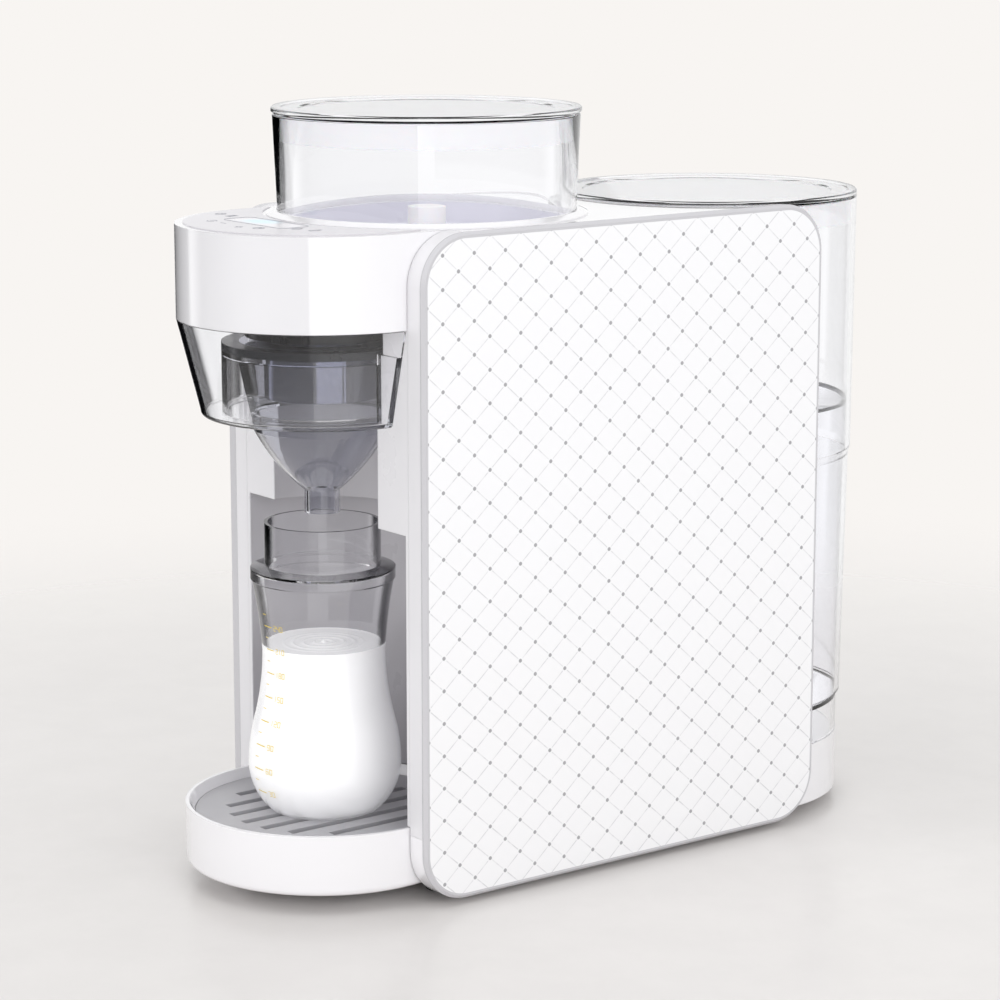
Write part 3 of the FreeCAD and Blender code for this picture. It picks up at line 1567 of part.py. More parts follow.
os.makedirs("parts", exist_ok=True)
for piece in nodes:
    piece.Shape.exportStep(f"parts/{piece.Label}.step")
    bounds = piece.Shape.BoundBox
    print(
        f"{piece.Label:20} solids {len(piece.Shape.Solids):2} volume {piece.Shape.Volume / 1000:9.2f} cm3"
        f"  x {bounds.XMin:7.2f} {bounds.XMax:7.2f}  y {bounds.YMin:7.2f} {bounds.YMax:7.2f}"
        f"  z {bounds.ZMin:7.2f} {bounds.ZMax:7.2f}"
    )
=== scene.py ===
"""Looks for a countertop baby formula maker: finishes, liquids, marks and studio."""

import math

import bmesh
import bpy
from bpy.props import FloatProperty, FloatVectorProperty, PointerProperty
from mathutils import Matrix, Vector


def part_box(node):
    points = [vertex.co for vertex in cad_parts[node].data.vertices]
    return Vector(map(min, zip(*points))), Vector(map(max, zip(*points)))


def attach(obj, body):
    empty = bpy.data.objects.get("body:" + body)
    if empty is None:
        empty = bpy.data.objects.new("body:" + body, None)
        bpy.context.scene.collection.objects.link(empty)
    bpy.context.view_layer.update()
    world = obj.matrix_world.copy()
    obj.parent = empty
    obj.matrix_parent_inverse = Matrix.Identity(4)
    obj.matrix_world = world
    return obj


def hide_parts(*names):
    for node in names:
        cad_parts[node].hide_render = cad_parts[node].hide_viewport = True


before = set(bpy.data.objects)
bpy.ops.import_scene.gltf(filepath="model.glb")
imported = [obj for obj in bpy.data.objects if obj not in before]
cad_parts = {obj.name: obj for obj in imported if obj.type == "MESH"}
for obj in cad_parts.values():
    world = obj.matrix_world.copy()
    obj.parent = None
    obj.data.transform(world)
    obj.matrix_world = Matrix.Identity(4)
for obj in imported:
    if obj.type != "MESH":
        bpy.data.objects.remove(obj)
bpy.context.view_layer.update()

bl_info = {
    "name": "Formula maker looks",
    "version": (1, 0, 0),
    "blender": (4, 5, 0),
    "location": "View3D > Sidebar > Formula maker",
    "description": "Finishes, liquids, marks and studio for a countertop formula maker",
    "category": "Object",
}

MM = 0.001


def middle(node):
    """The middle of a node's box, seen from above."""
    low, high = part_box(node)
    return Vector(((low.x + high.x) / 2, (low.y + high.y) / 2, 0))


# The upright axes of the round pieces.
NOSE = middle("drip_tray")
HOPPER = middle("hopper_lid")
TANK = middle("tank_lid")

# Level directions as the studio's camera sees them: to its left, and back towards it.
VIEW_LEFT = Vector((-0.6079, -0.7940, 0))
VIEW_BACK = Vector((0.7940, -0.6079, 0))

# The covers' corner radius, and the place of one stud on them.
COVER_CORNER = 24 * MM
STUD_Y, STUD_Z = -65.5 * MM, 278.4 * MM

# Sizes of the random patterns in the plastics: slow tone, patches of gloss and fine skin.
FLOW = 60 * MM
PATCH = 20 * MM
SKIN = 1.1 * MM
SKIN_DEPTH = 0.05 * MM

# Clear pieces: the near black painted as shade where they are seen edge on, the water's tint, and
# how far plastic and water bend light.
PAINTED_EDGE_SHADE = (0.02, 0.02, 0.025)
CLEAR_WHITE = "FCFCFF"
PLASTIC_IOR, WATER_IOR = 1.49, 1.33

# How much of the dark screen the mirror images in front of the machine show.
FRONT_SHARE = 0.93


def shade(code):
    """A colour from its hexadecimal code, as Blender's linear numbers."""
    numbers = [int(code[start : start + 2], 16) / 255 for start in (0, 2, 4)]
    return tuple(
        n / 12.92 if n <= 0.04045 else ((n + 0.055) / 1.055) ** 2.4 for n in numbers
    )


def colour_choice(name, description, code):
    """A colour that the user can change."""
    return FloatVectorProperty(
        name=name,
        description=description,
        subtype="COLOR",
        size=3,
        min=0,
        max=1,
        default=shade(code),
    )


def length_choice(name, description, value):
    """A length in metres that the user can change."""
    return FloatProperty(
        name=name, description=description, unit="LENGTH", default=value, precision=5
    )


def share_choice(name, description, value):
    """A share from 0 to 1 that the user can change."""
    return FloatProperty(
        name=name, description=description, subtype="FACTOR", min=0, max=1, default=value
    )


def power_choice(name, value):
    """A lamp's power that the user can change."""
    return FloatProperty(
        name=name, description="Power of the " + name.lower(), unit="POWER", default=value
    )


# sizes and colours ----------------------------------------


class ShellLooks(bpy.types.PropertyGroup):
    """White and grey mouldings of the body."""

    white: colour_choice("Gloss white", "Colour of the glossy shells", "F6F5F8")
    satin: colour_choice("Satin white", "Colour of the side frames and inner walls", "E9E8EB")
    # Niche grey is a darker grey painted as shade in the hollow round the bottle.
    niche: colour_choice("Niche grey", "Colour of the lining round the bottle", "C1BFC3")
    grille: colour_choice("Grille grey", "Colour of the drip grille", "B6B5B9")
    rubber: colour_choice("Rubber", "Colour of the feet", "2A2A2D")
    edge: length_choice("Edge rounding", "Rounding of the moulded edges", 0.0007)


class CoverLooks(bpy.types.PropertyGroup):
    """Quilted side covers."""

    colour: colour_choice("Cover", "Colour of the side covers", "F9F9FB")
    # The border grey is painted shade of the cover's rounded edge, on its plain band.
    border_shade: colour_choice("Border", "Colour of the plain band round a cover", "CCCBCF")
    seam: colour_choice("Seam", "Colour of the quilting lines", "DCDCDF")
    stud: colour_choice("Stud", "Colour of the studs", "A8A8AB")
    width: length_choice("Diamond width", "Distance between studs along the cover", 0.01746)
    height: length_choice("Diamond height", "Distance between studs up the cover", 0.015226)
    stud_size: length_choice("Stud size", "Diameter of a stud", 0.0019)
    seam_size: length_choice("Seam size", "Width of a quilting line", 0.00055)
    band: length_choice("Band", "Width of the plain band round a cover", 0.0026)


class ClearLooks(bpy.types.PropertyGroup):
    """Clear and translucent mouldings."""

    tint: colour_choice("Clear tint", "Tint of the clear plastic", "FEFEFF")
    powder_side: colour_choice("Bowl", "Colour of the hopper's bowl", "E3E2EC")
    seal: colour_choice("Seal", "Colour of the frosted seals", "F6F6FB")
    cup: colour_choice("Cup", "Colour of the tinted mixing cup", "A9ABBD")
    ring: colour_choice("Ring", "Colour of the ring on the funnel", "1A1B21")
    haze: share_choice("Haze", "Roughness of the clear plastic", 0.01)


class LiquidLooks(bpy.types.PropertyGroup):
    """Milk and water."""

    milk: colour_choice("Milk", "Colour of the milk", "FBFBFC")
    milk_level: length_choice("Milk level", "Height of the milk above the table", 0.113)
    # Painted light: the milk glows by this share though it is no lamp, to look whiter.
    milk_painted_glow: share_choice("Milk glow", "Light that the milk scatters back by itself", 0.18)
    ripple: length_choice("Ripple", "Height of the ripples on the milk", 0.00035)
    water_level: length_choice("Water level", "Height of the water above the table", 0.206)
    mark: colour_choice("Scale", "Colour of the bottle's scale", "E9CF4E")


class ControlLooks(bpy.types.PropertyGroup):
    """Control film and display."""

    film: colour_choice("Film", "Colour of the control film", "E0DEE2")
    glow: colour_choice("Glow", "Colour of the lit display", "BFE2F2")
    icon: colour_choice("Icon", "Colour of the printed icons", "9FA2AC")
    icon_size: length_choice("Icon size", "Size of a printed icon", 0.0062)
    line: length_choice("Icon line", "Width of an icon's lines", 0.0003)


class StudioLooks(bpy.types.PropertyGroup):
    """Floor, lamps and camera."""

    floor: colour_choice("Floor", "Colour of the floor", "E6E3E1")
    wall: colour_choice("Backdrop", "Colour of the backdrop", "F8F5F2")
    flag: colour_choice("Flag", "Colour of the dark screen on the left, seen in gloss", "0C0C0E")
    lens: FloatProperty(
        name="Lens", description="Focal length in millimetres", unit="CAMERA", default=114.05
    )
    sky: share_choice("Soft light", "Strength of the light from all round", 0.75)
    key: power_choice("Key lamp", 7.3)
    top: power_choice("Top lamp", 4.6)
    fill: power_choice("Fill lamp", 6.0)
    rear: power_choice("Rear lamp", 3.5)
    camera_place: FloatVectorProperty(
        name="Camera",
        description="Place of the camera",
        subtype="XYZ",
        unit="LENGTH",
        default=(1.1960, -0.9332, 0.4683),
    )
    camera_back: FloatVectorProperty(
        name="Camera back",
        description="Direction from the object to the camera",
        subtype="DIRECTION",
        default=(0.77870, -0.59619, 0.19543),
    )


LOOKS = {
    "shell": ShellLooks,
    "cover": CoverLooks,
    "clear": ClearLooks,
    "liquid": LiquidLooks,
    "control": ControlLooks,
    "studio": StudioLooks,
}


class MakerLooks(bpy.types.PropertyGroup):
    """Everything that the panel shows."""

    shell: PointerProperty(type=ShellLooks)
    cover: PointerProperty(type=CoverLooks)
    clear: PointerProperty(type=ClearLooks)
    liquid: PointerProperty(type=LiquidLooks)
    control: PointerProperty(type=ControlLooks)
    studio: PointerProperty(type=StudioLooks)


# finishes -------------------------------------------------


class Mask:
    """A number, colour or vector that changes over a surface."""

    def __init__(self, finish, socket):
        self.finish = finish
        self.socket = socket

    def _math(self, operation, *values):
        return self.finish.node("Math", {"operation": operation}, dict(enumerate(values)))

    def __add__(self, other):
        return self._math("ADD", self, other)

    def __radd__(self, other):
        return self._math("ADD", other, self)

    def __sub__(self, other):
        return self._math("SUBTRACT", self, other)

    def __rsub__(self, other):
        return self._math("SUBTRACT", other, self)

    def __mul__(self, other):
        return self._math("MULTIPLY", self, other)

    def __rmul__(self, other):
        return self._math("MULTIPLY", other, self)

    def __truediv__(self, other):
        return self._math("DIVIDE", self, other)

    def __rtruediv__(self, other):
        return self._math("DIVIDE", other, self)

    def __pow__(self, other):
        return self._math("POWER", self, other)

    def __mod__(self, other):
        return self._math("FLOORED_MODULO", self, other)

    def __abs__(self):
        return self._math("ABSOLUTE", self)

    def output(self, name):
        """Another output of the same node."""
        return Mask(self.finish, self.socket.node.outputs[name])


class Finish:
    """A material and the nodes in it."""

    def __init__(self, name, owner=None):
        self.owner = owner or bpy.data.materials.new(name)
        self.owner.use_nodes = True
        self.tree = self.owner.node_tree
        self.tree.nodes.clear()

    def node(self, kind, settings=None, sockets=None, output=0):
        """Add a node: its settings first, then the values or links of its sockets."""
        made = self.tree.nodes.new("ShaderNode" + kind)
        for name, value in (settings or {}).items():
            setattr(made, name, value)
        for name, value in (sockets or {}).items():
            self.fill(made.inputs[name], value)
        return Mask(self, made.outputs[output]) if made.outputs else made

    def fill(self, socket, value):
        """Set one socket to a value or link it."""
        if isinstance(value, Mask):
            self.tree.links.new(value.socket, socket)
        elif socket.type == "RGBA" and len(value) == 3:
            socket.default_value = (*value, 1)
        else:
            socket.default_value = value

    def place(self):
        """Where a point of the surface is on the machine at rest, in metres."""
        return self.node("TexCoord", output="Object")

    def parts(self, vector):
        """The three numbers of a vector."""
        split = self.node("SeparateXYZ", sockets={0: vector})
        return split, split.output("Y"), split.output("Z")

    def noise(self, size, detail=2, stretch=(1, 1, 1), roughness=0.5):
        """Soft random spots, about as large as size, in metres."""
        vector = self.node(
            "Mapping",
            sockets={"Vector": self.place(), "Scale": tuple(s / size for s in stretch)},
        )
        return self.node(
            "TexNoise",
            {"noise_dimensions": "3D"},
            {"Vector": vector, "Scale": 1.0, "Detail": detail, "Roughness": roughness},
        )

    def step(self, value, low, high, start=0.0, end=1.0):
        """A soft step from start to end as the value goes from low to high."""
        return self.node(
            "MapRange",
            {"interpolation_type": "SMOOTHSTEP"},
            {"Value": value, "From Min": low, "From Max": high, "To Min": start, "To Max": end},
        )

    def mix(self, factor, first, second):
        """The first colour where the factor is 0 and the second where it is 1."""
        return self.node("Mix", {"data_type": "RGBA"}, {0: factor, 6: first, 7: second}, output=2)

    def larger(self, first, second):
        """The larger of two numbers."""
        return self.node("Math", {"operation": "MAXIMUM"}, {0: first, 1: second})

    def smaller(self, first, second):
        """The smaller of two numbers."""
        return self.node("Math", {"operation": "MINIMUM"}, {0: first, 1: second})

    def along(self, vector, direction):
        """How far a vector points in a direction."""
        return self.node(
            "VectorMath", {"operation": "DOT_PRODUCT"}, {0: vector, 1: direction}, output="Value"
        )

    def clouded(self, size, colour, share, detail=3):
        """A colour with soft clouds in it, darker by a share."""
        cloud = self.step(self.noise(size, detail), 0.3, 0.7)
        return self.mix(cloud, tuple(c * (1 - share) for c in colour), tuple(colour))

    def patchy(self, low, high):
        """A roughness between two values, in soft patches."""
        return self.step(self.noise(PATCH, detail=4), 0.25, 0.75, low, high)

    def rounded(self, radius):
        """A normal that rounds the edges."""
        return self.node("Bevel", {"samples": 4}, {"Radius": radius})

    def bump(self, height, strength, distance, normal=None):
        """A normal from a height."""
        sockets = {"Height": height, "Strength": strength, "Distance": distance}
        if normal is not None:
            sockets["Normal"] = normal
        return self.node("Bump", sockets=sockets)

    def near_edge(self, y, z, low, high, width, corner=COVER_CORNER):
        """1 within a width of a rounded rectangle's edge, and 0 further in."""
        half = (high - low) / 2
        centre = (high + low) / 2
        across = self.larger(abs(y - centre.y) - (half.y - corner), 0.0)
        up = self.larger(abs(z - centre.z) - (half.z - corner), 0.0)
        out = (across**2 + up**2) ** 0.5
        return self.step(out, corner - width - 0.1 * MM, corner - width + 0.1 * MM)

    def surface(self, **sockets):
        """The main shader of the finish."""
        return self.node(
            "BsdfPrincipled",
            sockets={name.replace("_", " "): value for name, value in sockets.items()},
        )

    def blend(self, factor, first, second):
        """The first shader where the factor is 0 and the second where it is 1."""
        return self.node("MixShader", sockets={0: factor, 1: first, 2: second})

    def close(self, shader, kind="OutputMaterial"):
        """Link a shader to the output and give the finished material."""
        self.node(kind, sockets={"Surface": shader})
        return self.owner


def moulded(
    name, colour, roughness=0.25, grain=0.15, edge=0.7 * MM, coat=0.0, tone=0.02, specular=0.5
):
    """Opaque moulded plastic with faint flow tone, uneven gloss and a fine skin."""
    finish = Finish(name)
    skin = finish.noise(SKIN, detail=1)
    return finish.close(
        finish.surface(
            Base_Color=finish.clouded(FLOW, colour, tone),
            Roughness=finish.patchy(roughness * 0.85, roughness * 1.15),
            Normal=finish.bump(skin, grain, SKIN_DEPTH, finish.rounded(edge)),
            Specular_IOR_Level=specular,
            Coat_Weight=coat,
            Coat_Roughness=0.03,
            Coat_IOR=2.0,
        )
    )


def clear(name, tint, haze, ior=PLASTIC_IOR, rim=0.0, rim_start=0.7, rim_foot=None):
    """Clear moulded plastic or water, which bends what is seen through it.

    Seen edge on it is painted darker, as painted shade, by the share rim, from rim_start on and
    above the height rim_foot.
    Lamps shine straight through it.
    """
    finish = Finish(name)
    swirl = finish.noise(12 * MM, detail=2)
    scuffs = finish.noise(30 * MM, detail=5, roughness=0.7)
    gloss = finish.step(scuffs, 0.45, 0.85, haze, haze * 3 + 0.01)
    edge_on = finish.node("LayerWeight", sockets={"Blend": 0.5}, output="Facing")
    # Painted shade: the clear colour is darkened towards a near black where the piece is seen
    # edge on.
    painted_edge_shade = finish.step(edge_on, rim_start, rim_start + 0.15, 0.0, rim)
    if rim_foot is not None:
        height = finish.parts(finish.place())[2]
        painted_edge_shade = painted_edge_shade * finish.step(height, rim_foot, rim_foot + 1.5 * MM)
    glass = finish.surface(
        Base_Color=finish.mix(painted_edge_shade, tuple(tint), PAINTED_EDGE_SHADE),
        Roughness=gloss,
        IOR=ior,
        Transmission_Weight=1.0,
        Normal=finish.bump(swirl, 0.02, 0.1 * MM),
    )
    pale = tuple(0.8 + 0.2 * c for c in tint)
    through = finish.node("BsdfTransparent", sockets={"Color": pale})
    path = finish.node("LightPath", output="Is Shadow Ray")
    straight = finish.larger(path, path.output("Is Diffuse Ray"))
    return finish.close(finish.blend(straight, glass, through))


def frosted(name, colour, cover):
    """Translucent silicone or frosted plastic, which hides what is behind it by a share."""
    finish = Finish(name)
    cloud = finish.step(finish.noise(10 * MM, detail=4), 0.3, 0.7, 0.93, 1.0)
    body = finish.surface(
        Base_Color=finish.mix(cloud, tuple(c * 0.9 for c in colour), tuple(colour)),
        Roughness=0.45,
        Normal=finish.bump(finish.noise(0.6 * MM, detail=1), 0.1, 0.04 * MM),
        Subsurface_Weight=0.2,
        Subsurface_Scale=3 * MM,
    )
    through = finish.node("BsdfTransparent", sockets={"Color": (1, 1, 1)})
    return finish.close(finish.blend(cover, through, body))


def metal(name, colour, roughness=0.3):
    """Plated sheet metal with fine drawn lines."""
    finish = Finish(name)
    lines = finish.noise(4 * MM, detail=3, stretch=(1, 1, 12))
    base = finish.mix(finish.step(lines, 0.3, 0.7), tuple(c * 0.85 for c in colour), colour)
    gloss = finish.step(lines, 0.3, 0.7, roughness * 0.8, roughness * 1.3)
    normal = finish.bump(lines, 0.15, 0.04 * MM, finish.rounded(0.3 * MM))
    return finish.close(
        finish.surface(Base_Color=base, Metallic=1.0, Roughness=gloss, Normal=normal)
    )


def circuit_board(name, colour):
    """Green board with paler tracks."""
    finish = Finish(name)
    tracks = finish.node(
        "TexVoronoi",
        {"feature": "DISTANCE_TO_EDGE"},
        {"Vector": finish.place(), "Scale": 260.0},
    )
    line = 1 - finish.step(tracks, 0.04, 0.09)
    base = finish.mix(line, colour, tuple(min(1, c * 2.2) for c in colour))
    normal = finish.bump(line, 0.3, SKIN_DEPTH)
    return finish.close(finish.surface(Base_Color=base, Roughness=0.35, Normal=normal))


def quilted(name, looks, face_x, low, high):
    """Glossy cover with quilting lines, studs and a plain band along its edges, painted greyer as
    painted shade of the rounded edge.
    """
    finish = Finish(name)
    x, y, z = finish.parts(finish.place())
    along = (y - STUD_Y) / looks.width
    down = (STUD_Z - z) / looks.height
    near_rising = (along + down + 0.5) % 1.0 - 0.5
    near_falling = (along - down + 0.5) % 1.0 - 0.5
    lean = looks.width * looks.height / math.hypot(looks.width, looks.height)
    seam_gap = finish.smaller(abs(near_rising), abs(near_falling)) * lean
    stud_y = (near_rising + near_falling) * (looks.width / 2)
    stud_z = (near_rising - near_falling) * (looks.height / 2)
    stud_gap = (stud_y**2 + stud_z**2) ** 0.5
    half_seam = looks.seam_size / 2
    half_stud = looks.stud_size / 2
    seam = 1 - finish.step(seam_gap, half_seam * 0.6, half_seam * 1.3)
    seam = seam * finish.step(stud_gap, looks.stud_size * 0.6, looks.stud_size * 1.1)
    stud = 1 - finish.step(stud_gap, half_stud * 0.75, half_stud * 1.2)
    face = 1 - finish.step(abs(x - face_x), 0.1 * MM, 0.3 * MM)
    # Painted shade: the plain band and the faces off the flat side take the darker border grey.
    band = 1 - face * (1 - finish.near_edge(y, z, low, high, looks.band))
    faint = finish.step(finish.noise(6 * MM, detail=2), 0.35, 0.65, 0.45, 1.0)
    cloth = finish.mix(seam * face * faint, tuple(looks.colour), tuple(looks.seam))
    studded = finish.mix(stud * face, cloth, tuple(looks.stud))
    base = finish.mix(band, studded, tuple(looks.border_shade))
    puff = finish.step(seam_gap, 0.0, 4 * MM)
    height = (puff * 0.5 + stud * 0.6 + finish.noise(SKIN, detail=1) * 0.05) * face
    normal = finish.bump(height, 0.25, 0.35 * MM, finish.rounded(0.6 * MM))
    gloss = finish.patchy(0.2, 0.27)
    return finish.close(
        finish.surface(Base_Color=base, Roughness=gloss, Normal=normal, Coat_Weight=0.15)
    )


# building blocks ------------------------------------------


def give(material, *nodes):
    """Put a material on the frame's own nodes."""
    for node in nodes:
        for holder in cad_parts[node].material_slots:
            holder.material = material


def piece(name, mesh, body, material, replaced=()):
    """Make an object that rides on a body."""
    made = bpy.data.objects.new(name, mesh)
    bpy.context.scene.collection.objects.link(made)
    mesh.materials.append(material)
    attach(made, body)
    if replaced:
        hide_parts(*replaced)


def rounded_outline(points, bends, steps=4):
    """An outline of (radius, height) with its corners rounded by bends, but for both ends."""
    made = []
    for index, (point, bend) in enumerate(zip(points, bends)):
        here = Vector(point)
        if not bend:
            made.append(here)
            continue
        before = Vector(points[index - 1]) - here
        after = Vector(points[index + 1]) - here
        reach = min(bend, before.length * 0.45, after.length * 0.45)
        start = here + before.normalized() * reach
        end = here + after.normalized() * reach
        for step in range(steps + 1):
            t = step / steps
            made.append(start.lerp(here, t).lerp(here.lerp(end, t), t))
    return made


def finished_mesh(name, build):
    """Turn a mesh under construction into a finished one."""
    mesh = bpy.data.meshes.new(name)
    build.to_mesh(mesh)
    build.free()
    return mesh


def circle(build, centre, radius, height, count):
    """Add corners on a level circle, or one corner where its radius is nothing."""
    if radius < 1e-6:
        return [build.verts.new((centre.x, centre.y, height))]
    made = []
    for step in range(count):
        angle = 2 * math.pi * step / count
        x = centre.x + radius * math.cos(angle)
        y = centre.y + radius * math.sin(angle)
        made.append(build.verts.new((x, y, height)))
    return made


def turned(name, outline, centre, closed=True, segments=160, sharp=32.0):
    """A mesh turned round an upright axis from an outline of (radius, height)."""
    build = bmesh.new()
    rings = [circle(build, centre, radius, height, segments) for radius, height in outline]
    pairs = list(zip(rings, rings[1:]))
    if closed:
        pairs.append((rings[-1], rings[0]))
    for lower, upper in pairs:
        for step in range(segments):
            after = (step + 1) % segments
            if len(lower) == 1:
                corners = (lower[0], upper[after], upper[step])
            elif len(upper) == 1:
                corners = (lower[step], lower[after], upper[0])
            else:
                corners = (lower[step], lower[after], upper[after], upper[step])
            build.faces.new(corners)
    bmesh.ops.recalc_face_normals(build, faces=build.faces)
    mesh = finished_mesh(name, build)
    for face in mesh.polygons:
        face.use_smooth = True
    mesh.set_sharp_from_angle(angle=math.radians(sharp))
    return mesh


def wall_of(node, centre, side):
    """Radii and heights of a round node's wall, from the bottom up: side 1 outside, -1 inside."""
    off_axis, facing = 1e-4, 0.3
    found = {}
    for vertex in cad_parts[node].data.vertices:
        flat = Vector((vertex.co.x - centre.x, vertex.co.y - centre.y, 0))
        if flat.length > off_axis and side * vertex.normal.dot(flat.normalized()) > facing:
            found.setdefault(round(vertex.co.z, 5), []).append(flat.length)
    pick = max if side > 0 else min
    return [(pick(radii), height) for height, radii in sorted(found.items())]


def radius_at(wall, height):
    """The radius of a wall at a height."""
    below = [w for w in wall if w[1] <= height] or [wall[0]]
    above = [w for w in wall if w[1] > height] or [wall[-1]]
    (r0, z0), (r1, z1) = below[-1], above[0]
    if z1 == z0:
        return r0
    return r0 + (r1 - r0) * (height - z0) / (z1 - z0)


def ribbon(build, points, width, lift, closed=False):
    """Add a flat line of a given width, raised on its surface, to a mesh under construction."""
    count = len(points)
    edges = []
    for index in range(count):
        before = points[(index - 1) % count] if closed or index else points[index]
        after = points[(index + 1) % count] if closed or index < count - 1 else points[index]
        along = (after - before).normalized()
        aside = Vector((-along.y, along.x, 0)) * (width / 2)
        pair = []
        for offset in (aside, -aside):
            for height in (0, lift):
                pair.append(build.verts.new(points[index] + offset + Vector((0, 0, height))))
        edges.append(pair)
    spans = list(zip(edges, edges[1:]))
    if closed:
        spans.append((edges[-1], edges[0]))
    for (a0, a1, b0, b1), (c0, c1, d0, d1) in spans:
        build.faces.new((a1, b1, d1, c1))
        build.faces.new((a0, a1, c1, c0))
        build.faces.new((b1, b0, d0, d1))
        build.faces.new((a0, c0, d0, b0))
    if not closed:
        for a0, a1, b0, b1 in (edges[0], edges[-1]):
            build.faces.new((a0, b0, b1, a1))


def arc(centre, radius, start, end, steps=16):
    """Points on a flat arc, angles in degrees."""
    made = []
    for step in range(steps + 1):
        angle = math.radians(start + (end - start) * step / steps)
        x = centre[0] + radius * math.cos(angle)
        y = centre[1] + radius * math.sin(angle)
        made.append(Vector((x, y, 0)))
    return made


def line(*corners):
    """Points of a flat line through its corners."""
    return [Vector((*corner, 0)) for corner in corners]


# drawings -------------------------------------------------

# Lines of each icon, as points and whether they close, where half the icon's size is 1.
ICONS = {
    "icon_power": [(arc((0, 0), 0.8, 120, 420), False), (line((0, 0.1), (0, 1)), False)],
    "icon_drop": [(arc((0, -0.25), 0.6, -220, 40) + line((0, 0.95)), True)],
    "icon_plus": [(line((-0.7, 0), (0.7, 0)), False), (line((0, -0.7), (0, 0.7)), False)],
    "icon_minus": [(line((-0.7, 0), (0.7, 0)), False)],
    "icon_clock": [
        (arc((0, 0), 0.85, 0, 345), True),
        (line((0, 0.5), (0, 0), (0.4, 0)), False),
    ],
    "icon_bottle": [
        (
            line((-0.4, -1), (0.4, -1), (0.4, 0.3), (0.15, 0.5))
            + line((0.15, 1), (-0.15, 1), (-0.15, 0.5), (-0.4, 0.3)),
            True,
        )
    ],
    "icon_heat": [
        (line(*((x + 0.18 * math.sin(s * 0.9), s / 4 - 0.9) for s in range(8))), False)
        for x in (-0.5, 0, 0.5)
    ],
    "icon_wash": [(arc((0, 0), 0.75, 20, 170), False), (arc((0, 0), 0.75, 200, 350), False)],
}

# Where each icon lies on the machine, in millimetres.
ICON_PLACES = {
    "icon_power": (-48, -144),
    "icon_heat": (-37.5, -144.5),
    "icon_wash": (-25.5, -163),
    "icon_minus": (-14.5, -164),
    "icon_plus": (3, -167),
    "icon_clock": (12.5, -162.5),
    "icon_drop": (25.5, -150.5),
    "icon_bottle": (35.5, -147.5),
}

# Strokes of the digits on the bottle: across from 0 to 1, up from -1 to 1.
DIGITS = {
    "0": [(0, 1), (1, 1), (1, -1), (0, -1), (0, 1)],
    "1": [(0.5, 1), (0.5, -1)],
    "2": [(0, 1), (1, 1), (1, 0), (0, 0), (0, -1), (1, -1)],
    "3": [(0, 1), (1, 1), (1, 0), (0.3, 0), (1, 0), (1, -1), (0, -1)],
    "4": [(0, 1), (0, 0), (1, 0), (1, 1), (1, -1)],
    "5": [(1, 1), (0, 1), (0, 0), (1, 0), (1, -1), (0, -1)],
    "6": [(1, 1), (0, 1), (0, -1), (1, -1), (1, 0), (0, 0)],
    "8": [(0, 0), (0, 1), (1, 1), (1, -1), (0, -1), (0, 0), (1, 0)],
    "9": [(1, 0), (0, 0), (0, 1), (1, 1), (1, -1), (0, -1)],
}


# operators ------------------------------------------------


class MAKER_OT_shells(bpy.types.Operator):
    """Finish the white shells, the side frames, the inner walls and the feet"""

    bl_idname = "maker.shells"
    bl_label = "Shells and frames"
    bl_options = {"REGISTER", "UNDO"}

    def execute(self, context):
        shell = context.scene.maker_looks.shell
        white = moulded("gloss_white", shell.white, 0.2, 0.08, shell.edge, coat=1.0)
        give(white, "base_shell", "head_shell", "top_deck", "hopper_collar")
        satin = moulded("satin_white", shell.satin, 0.34, 0.2, shell.edge)
        give(satin, "side_frame_right", "side_frame_left", "tank_bay_wall", "gear_plate")
        give(moulded("rubber", shell.rubber, 0.7, 0.5, shell.edge, tone=0.15), "rubber_feet")
        return {"FINISHED"}


class MAKER_OT_covers(bpy.types.Operator):
    """Finish the quilted side covers"""

    bl_idname = "maker.covers"
    bl_label = "Quilted covers"
    bl_options = {"REGISTER", "UNDO"}

    def execute(self, context):
        cover = context.scene.maker_looks.cover
        for side in ("right", "left"):
            node = "cover_panel_" + side
            low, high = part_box(node)
            face_x = high.x if side == "right" else low.x
            give(quilted("quilt_" + side, cover, face_x, low, high), node)
        return {"FINISHED"}


class MAKER_OT_niche(bpy.types.Operator):
    """Finish the lining round the bottle, the drip tray and its grille"""

    bl_idname = "maker.niche"
    bl_label = "Niche and tray"
    bl_options = {"REGISTER", "UNDO"}

    def execute(self, context):
        shell = context.scene.maker_looks.shell
        give(self.lining(shell), "niche_liner")
        give(moulded("tray_white", shell.white, 0.2, 0.08, shell.edge, coat=1.0), "drip_tray")
        give(moulded("grille_grey", shell.grille, 0.35, 0.25, 0.4 * MM), "drip_grille")
        return {"FINISHED"}

    def lining(self, shell):
        """Satin front faces, and the hollow for the bottle painted greyer as painted shade."""
        finish = Finish("niche_lining")
        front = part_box("niche_liner")[0].y
        depth = finish.parts(finish.place())[1] - front
        # Painted shade: the faces behind the front are painted the darker niche grey.
        painted_hollow_shade = finish.step(depth, 0.3 * MM, 0.6 * MM)
        face = finish.clouded(FLOW, shell.satin, 0.02)
        inside = finish.clouded(FLOW, shell.niche, 0.03)
        skin = finish.noise(SKIN, detail=1)
        return finish.close(
            finish.surface(
                Base_Color=finish.mix(painted_hollow_shade, face, inside),
                Roughness=finish.patchy(0.26, 0.34),
                Normal=finish.bump(skin, 0.15, SKIN_DEPTH, finish.rounded(shell.edge)),
            )
        )


